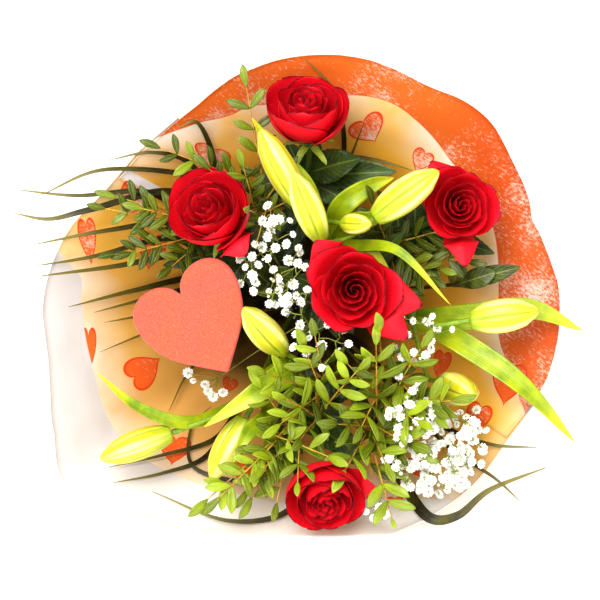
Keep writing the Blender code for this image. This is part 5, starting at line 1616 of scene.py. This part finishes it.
def gypsophila(name, blossom, small, settings):
    """A loose cloud of blossoms and round buds on thin curled twigs that fork from one stem."""
    middle, half, count = CLOUDS[name]
    route = plain_route(name, HEADS[name].z)
    rng = random.Random(name + " blossoms")
    runs = [resampled(route, stem_sizes(name, 1.8, 1.4, 1.1), 46)]
    joints, flowers, buds = [route[-1]], [], []
    loose = count <= DENSE_CLOUD
    attempts = 0
    while len(flowers) < count * settings.amount and attempts < BLOSSOM_TRIES:
        attempts += 1
        offset = anywhere(rng, 1)
        if offset.xy.length > 1:
            continue
        place = Vector(middle) + Vector([offset[i] * half[i] for i in range(3)])
        if any((place - other[0]).length < BLOSSOM_APART[loose] for other in flowers):
            continue
        if from_node(name, place) > 20 or not clear((place,), BLOSSOM_CLEAR[loose]):
            continue
        start = min(joints, key=lambda joint: (joint - place).length + 0.6 * abs(joint.z + 22 - place.z))
        line = bent(start, place, 1.5, rng, 2.2)
        runs.append(resampled(line, [0.55, 0.45, 0.35, 0.3], 7))
        joints.append(start.lerp(place, 0.55))
        tilt = (Matrix.Rotation(rng.uniform(-0.7, 0.7), 3, "X")
                @ Matrix.Rotation(rng.uniform(-0.7, 0.7), 3, "Y"))
        flowers.append((place, tilt @ Matrix.Rotation(rng.uniform(0, 6), 3, "Z"),
                        settings.blossom_radius / MM * rng.uniform(0.62, 1.12), rng.random()))
        if rng.random() < 0.45:
            end = start.lerp(place, 0.6) + Vector((rng.uniform(-7, 7), rng.uniform(-7, 7), rng.uniform(0, 6)))
            runs.append(resampled(bent(start.lerp(place, 0.5), end, 0.5, rng, 1.0), [0.4, 0.35, 0.3, 0.25],
                                  6))
            buds.append((end, tilt, rng.uniform(1.1, 1.9), rng.random()))
    singles = [photo_place(u, v, z) for u, v, z in SINGLE_BLOSSOMS.get(name, ())]
    if singles:
        start = on_stem(name, SINGLE_TWIG)
        hub = sum(singles, Vector()) / len(singles)
        hub = hub.lerp(start, 14 / (hub - start).length)
        runs.append(resampled((start, start.lerp(hub, 0.5) + Vector((2, 3, 8)), hub), [0.8, 0.6, 0.5], 16))
    for place in singles:
        runs.append(resampled(bent(hub, place, 1.0, rng, 1.5), [0.45, 0.4, 0.35, 0.3], 8))
        tilt = Matrix.Rotation(rng.uniform(-0.5, 0.5), 3, "X")
        flowers.append((place, tilt, settings.blossom_radius / MM * rng.uniform(0.6, 1.0), rng.random()))
    stalk = stem_surface("gypsophila_twig", shade(168, 176, 76), shade(112, 122, 44), shade(210, 212, 160))
    placed(tubes(name + "_twigs", runs, stalk, 6), "blossom", name)
    placed(scattered(name + "_blossoms", blossom, flowers, blossom_surface(settings)), "blossom", name)
    placed(scattered(name + "_buds", small, buds, blossom_surface(settings)), "blossom", name)


def broad_branch(name, greens):
    """A branch with a few broad olive leaves."""
    route = plain_route(name, HEADS[name].z)
    bark = stem_surface("broad_bark", shade(110, 100, 52), shade(72, 64, 32), shade(200, 196, 140))
    placed(bark_stem(name + "_stalk", route, stem_sizes(name, 2.3, 2.1, 1.6), bark), "broad_green", name)
    leaves = Skin()
    for k, line, half_width in own_leaves(BROAD_LEAVES, name):
        leaves.add(leaf_grid(line, half_width, (0, 0, 1), lambda s: lens(s, 0.55, 0.12, 0.1), 30, 8, 0.16,
                             0.05, k), 0.3 * (k % 3))
    green = leaf_surface("broad_leaf_skin", (*greens.broad, 1), shade(52, 66, 22), shade(170, 176, 90), 50.0,
                         0.5)
    placed(leaves.build(name + "_leaves", green, thickness=greens.leaf / MM), "broad_green", name)


# Settings

def colour_choice(name, description, red, green, blue):
    """A colour setting."""
    return FloatVectorProperty(name=name, description=description, default=shade(red, green, blue)[:3],
                               subtype="COLOR", size=3, min=0, max=1)


def length_choice(name, description, millimetres):
    """A length setting."""
    return FloatProperty(name=name, description=description, default=millimetres * MM, min=0,
                         subtype="DISTANCE", unit="LENGTH")


class PaperSettings(bpy.types.PropertyGroup):
    kraft: colour_choice("Kraft", "Colour of the plain kraft", 255, 196, 74)
    back: colour_choice("Back", "Colour of the plain outside", 212, 170, 116)
    orange: colour_choice("Orange", "Colour of the brushed border", 222, 110, 40)
    white: colour_choice("White", "Colour of the white border", 219, 212, 208)
    print: colour_choice("Hearts", "Colour of the printed hearts", 250, 112, 46)
    thickness: length_choice("Thickness", "Thickness of a sheet", 0.5)


class RoseSettings(bpy.types.PropertyGroup):
    inner: IntProperty(name="Inner petals", description="Tight petals of a rose's heart", default=14, min=4,
                       max=40)
    outer: IntProperty(name="Outer petals", description="Wide petals round the heart", default=9, min=3,
                       max=30)
    crimson: colour_choice("Crimson", "Colour of the petals", 228, 26, 44)
    # painted shade: the darker red at the foot of the petals, where the rose shades itself
    foot_shade: colour_choice("Depth", "Colour at the foot of the petals", 208, 18, 36)
    petal: length_choice("Petal", "Thickness of a petal", 0.5)


class LilySettings(bpy.types.PropertyGroup):
    bud: colour_choice("Buds", "Colour of the lily buds", 204, 194, 40)
    leaf: colour_choice("Leaves", "Colour of the lily leaves", 184, 196, 20)


class GreenSettings(bpy.types.PropertyGroup):
    leaflet: colour_choice("Leaflets", "Colour of the sprays' leaflets", 164, 184, 24)
    broad: colour_choice("Broad leaves", "Colour of the olive leaves", 96, 112, 44)
    grass: colour_choice("Grass", "Colour of the grass blades", 92, 86, 24)
    leaf: length_choice("Leaf", "Thickness of a leaf", 0.5)
    under: IntProperty(name="Under leaves", description="Shaded leaves on each rose stem", default=16, min=0,
                       max=40)


class GypsophilaSettings(bpy.types.PropertyGroup):
    blossom: colour_choice("Blossom", "Colour of the blossoms", 252, 252, 248)
    blossom_radius: length_choice("Radius", "Radius of an open blossom", 4.9)
    amount: FloatProperty(name="Amount", description="Share of the blossoms that are made", default=1.0,
                          min=0.1, max=2.0, subtype="FACTOR")


class TrimSettings(bpy.types.PropertyGroup):
    felt: colour_choice("Felt", "Colour of the felt heart", 174, 78, 44)
    side: colour_choice("Felt side", "Colour of the heart's cut side", 222, 34, 40)
    jute: colour_choice("Jute", "Colour of the tie", 190, 154, 96)


class StageSettings(bpy.types.PropertyGroup):
    floor: colour_choice("Floor", "Colour of the floor", 250, 250, 250)
    sky: FloatProperty(name="Sky", description="Strength of the even light", default=0.6, min=0, max=5)
    key: FloatProperty(name="Key", description="Power of the main lamp in watts", default=24, min=0)
    sun: FloatProperty(name="Sun", description="Strength of the soft sun on the floor", default=0.9, min=0)
    distance: FloatProperty(name="Camera distance", description="From the tie to the camera",
                            default=EYE * MM, min=0.5, subtype="DISTANCE", unit="LENGTH")


# Operators

class BOUQUET_OT_paper(bpy.types.Operator):
    """Make both wrapping sheets"""
    bl_idname = "bouquet.paper"
    bl_label = "Wrapping paper"

    def execute(self, context):
        settings = context.scene.bouquet_paper
        placed(paper_sheet("paper_orange_edge_print", ORANGE_SHEET, 0.0, orange_border, settings),
               "orange_paper", "paper_orange_edge")
        placed(paper_sheet("paper_white_edge_print", WHITE_SHEET, CAD_PAPER + SHEET_GAP, white_border,
                           settings), "white_paper", "paper_white_edge")
        return {"FINISHED"}


class BOUQUET_OT_tie(bpy.types.Operator):
    """Make the jute tie"""
    bl_idname = "bouquet.tie"
    bl_label = "Jute tie"

    def execute(self, context):
        placed(tie("jute_tie", context.scene.bouquet_trim), "jute", "tie_cord")
        return {"FINISHED"}


class BOUQUET_OT_roses(bpy.types.Operator):
    """Make the rose heads, their stems and leaves"""
    bl_idname = "bouquet.roses"
    bl_label = "Roses"

    def execute(self, context):
        for name in ROSES:
            placed(rose_head(name, context.scene.bouquet_rose), "rose_petal", name)
            rose_stem(name.replace("rose", "rose_stem"), context.scene.bouquet_green)
        return {"FINISHED"}


class BOUQUET_OT_lilies(bpy.types.Operator):
    """Make the lily buds, stems and leaves"""
    bl_idname = "bouquet.lilies"
    bl_label = "Lilies"

    def execute(self, context):
        settings = context.scene.bouquet_lily
        for name in LILY_BUDS:
            placed(lily_bud(name, settings), "lily_bud", name)
        for name in LILY_NODES:
            lily_stem(name, settings)
        return {"FINISHED"}


class BOUQUET_OT_heart(bpy.types.Operator):
    """Make the felt heart and its stick"""
    bl_idname = "bouquet.heart"
    bl_label = "Felt heart"

    def execute(self, context):
        placed(heart_piece("felt_heart", context.scene.bouquet_trim), "felt", "heart")
        facing = Vector(HEART_FACING).normalized()
        top = Vector(HEART_MIDDLE) - facing * (HEART_THICK / 2 + 2 * GAP)
        route = stem_route("heart_stick", top, facing)
        wood = stem_surface("stick_wood", shade(214, 178, 122), shade(170, 128, 78), shade(232, 206, 160))
        placed(bark_stem("wooden_stick", route, [stem_radius("heart_stick")] * len(route), wood, 60, 14),
               "wood", "heart_stick")
        return {"FINISHED"}


class BOUQUET_OT_grass(bpy.types.Operator):
    """Make the grass bunches"""
    bl_idname = "bouquet.grass"
    bl_label = "Grass"

    def execute(self, context):
        for name in GRASS:
            grass_bunch(name, context.scene.bouquet_green)
        return {"FINISHED"}


class BOUQUET_OT_foliage(bpy.types.Operator):
    """Make the sprays of leaflets and the broad leaves"""
    bl_idname = "bouquet.foliage"
    bl_label = "Foliage"

    def execute(self, context):
        leaflet = leaflet_shape()
        for name in SPRAYS:
            spray(name, leaflet, context.scene.bouquet_green)
        bpy.data.objects.remove(leaflet)
        for name in BROAD_STEMS:
            broad_branch(name, context.scene.bouquet_green)
        return {"FINISHED"}


class BOUQUET_OT_gypsophila(bpy.types.Operator):
    """Make the clouds of small white blossoms"""
    bl_idname = "bouquet.gypsophila"
    bl_label = "Gypsophila"

    def execute(self, context):
        blossom, small = blossom_shape(), bud_shape()
        for name in CLOUDS:
            gypsophila(name, blossom, small, context.scene.bouquet_gypsophila)
        bpy.data.objects.remove(blossom)
        bpy.data.objects.remove(small)
        return {"FINISHED"}


class BOUQUET_OT_stage(bpy.types.Operator):
    """Make the floor, the lights and the camera"""
    bl_idname = "bouquet.stage"
    bl_label = "Stage"

    def execute(self, context):
        settings = context.scene.bouquet_stage
        scene = context.scene
        mesh = bpy.data.meshes.new("floor")
        corners = [(x * FLOOR_HALF, y * FLOOR_HALF, 0) for x, y in ((-1, -1), (1, -1), (1, 1), (-1, 1))]
        mesh.from_pydata(corners, [], [(0, 1, 2, 3)])
        floor = linked("floor", mesh)

        def paint(graph):
            cloud = graph.noise(graph.add("ShaderNodeTexCoord", out=3), 6.0, 3)
            return graph.mix(cloud, (*settings.floor, 1), shade(244, 244, 244)), 0.7, None
        pale = surface("pale_floor", paint, Emission_Color=(1, 1, 1, 1), Emission_Strength=0.4)
        mesh.materials.append(pale)
        world = bpy.data.worlds.new("even_light")
        world.use_nodes = True
        background = world.node_tree.nodes["Background"].inputs
        background["Color"].default_value = (1, 1, 1, 1)
        background["Strength"].default_value = settings.sky
        scene.world = world
        axis = Matrix.Translation(TIE_MIDDLE) @ Matrix.Rotation(math.pi / 2 - TILT, 4, "X")
        view = bpy.data.cameras.new("camera")
        view.sensor_width = SENSOR
        view.lens = SENSOR * (EYE - SEEN_AT) / (PHOTO * MM_PER_PIXEL)
        camera = linked("camera", view)
        camera.matrix_world = axis @ Matrix.Translation((0, 0, settings.distance))
        scene.camera = camera
        lamp = bpy.data.lights.new("key_light", "AREA")
        lamp.energy = settings.key
        lamp.shape = "DISK"
        lamp.size = KEY_SIZE
        key = linked("key_light", lamp)
        spot = Vector(KEY_PLACE)
        aim = Vector(KEY_AIM) - spot
        key.matrix_world = (axis @ Matrix.Translation(spot)
                            @ aim.to_track_quat("-Z", "Y").to_matrix().to_4x4())
        sun_lamp = bpy.data.lights.new("floor_light", "SUN")
        sun_lamp.energy = settings.sun
        sun_lamp.angle = SUN_SPREAD
        sun = linked("floor_light", sun_lamp)
        sun.rotation_euler = SUN_TURN
        scene.view_settings.view_transform = "Standard"
        scene.view_settings.look = "Medium High Contrast"
        return {"FINISHED"}


class BOUQUET_PT_panel(bpy.types.Panel):
    """The bouquet's pieces and their settings"""
    bl_idname = "BOUQUET_PT_panel"
    bl_label = "Bouquet"
    bl_space_type = "VIEW_3D"
    bl_region_type = "UI"
    bl_category = "Bouquet"

    def draw(self, context):
        for key, group in SETTINGS.items():
            box = self.layout.box()
            for prop in group.__annotations__:
                box.prop(getattr(context.scene, key), prop)
        for operator in OPERATORS:
            self.layout.operator(operator.bl_idname)


SETTINGS = {"bouquet_paper": PaperSettings, "bouquet_rose": RoseSettings, "bouquet_lily": LilySettings,
            "bouquet_green": GreenSettings, "bouquet_gypsophila": GypsophilaSettings,
            "bouquet_trim": TrimSettings, "bouquet_stage": StageSettings}
OPERATORS = (BOUQUET_OT_paper, BOUQUET_OT_tie, BOUQUET_OT_roses, BOUQUET_OT_lilies, BOUQUET_OT_heart,
             BOUQUET_OT_grass, BOUQUET_OT_foliage, BOUQUET_OT_gypsophila, BOUQUET_OT_stage)


def register():
    """Adds the settings, operators and panel to Blender."""
    for cls in (*SETTINGS.values(), *OPERATORS, BOUQUET_PT_panel):
        bpy.utils.register_class(cls)
    for key, group in SETTINGS.items():
        setattr(bpy.types.Scene, key, PointerProperty(type=group))


def unregister():
    """Takes them away again."""
    for key in SETTINGS:
        delattr(bpy.types.Scene, key)
    for cls in reversed((*SETTINGS.values(), *OPERATORS, BOUQUET_PT_panel)):
        bpy.utils.unregister_class(cls)


def main():
    """Builds the whole bouquet."""
    register()
    bpy.ops.bouquet.paper()
    bpy.ops.bouquet.tie()
    bpy.ops.bouquet.roses()
    bpy.ops.bouquet.lilies()
    bpy.ops.bouquet.heart()
    bpy.ops.bouquet.grass()
    bpy.ops.bouquet.foliage()
    bpy.ops.bouquet.gypsophila()
    bpy.ops.bouquet.stage()


if __name__ == "__main__":
    main()
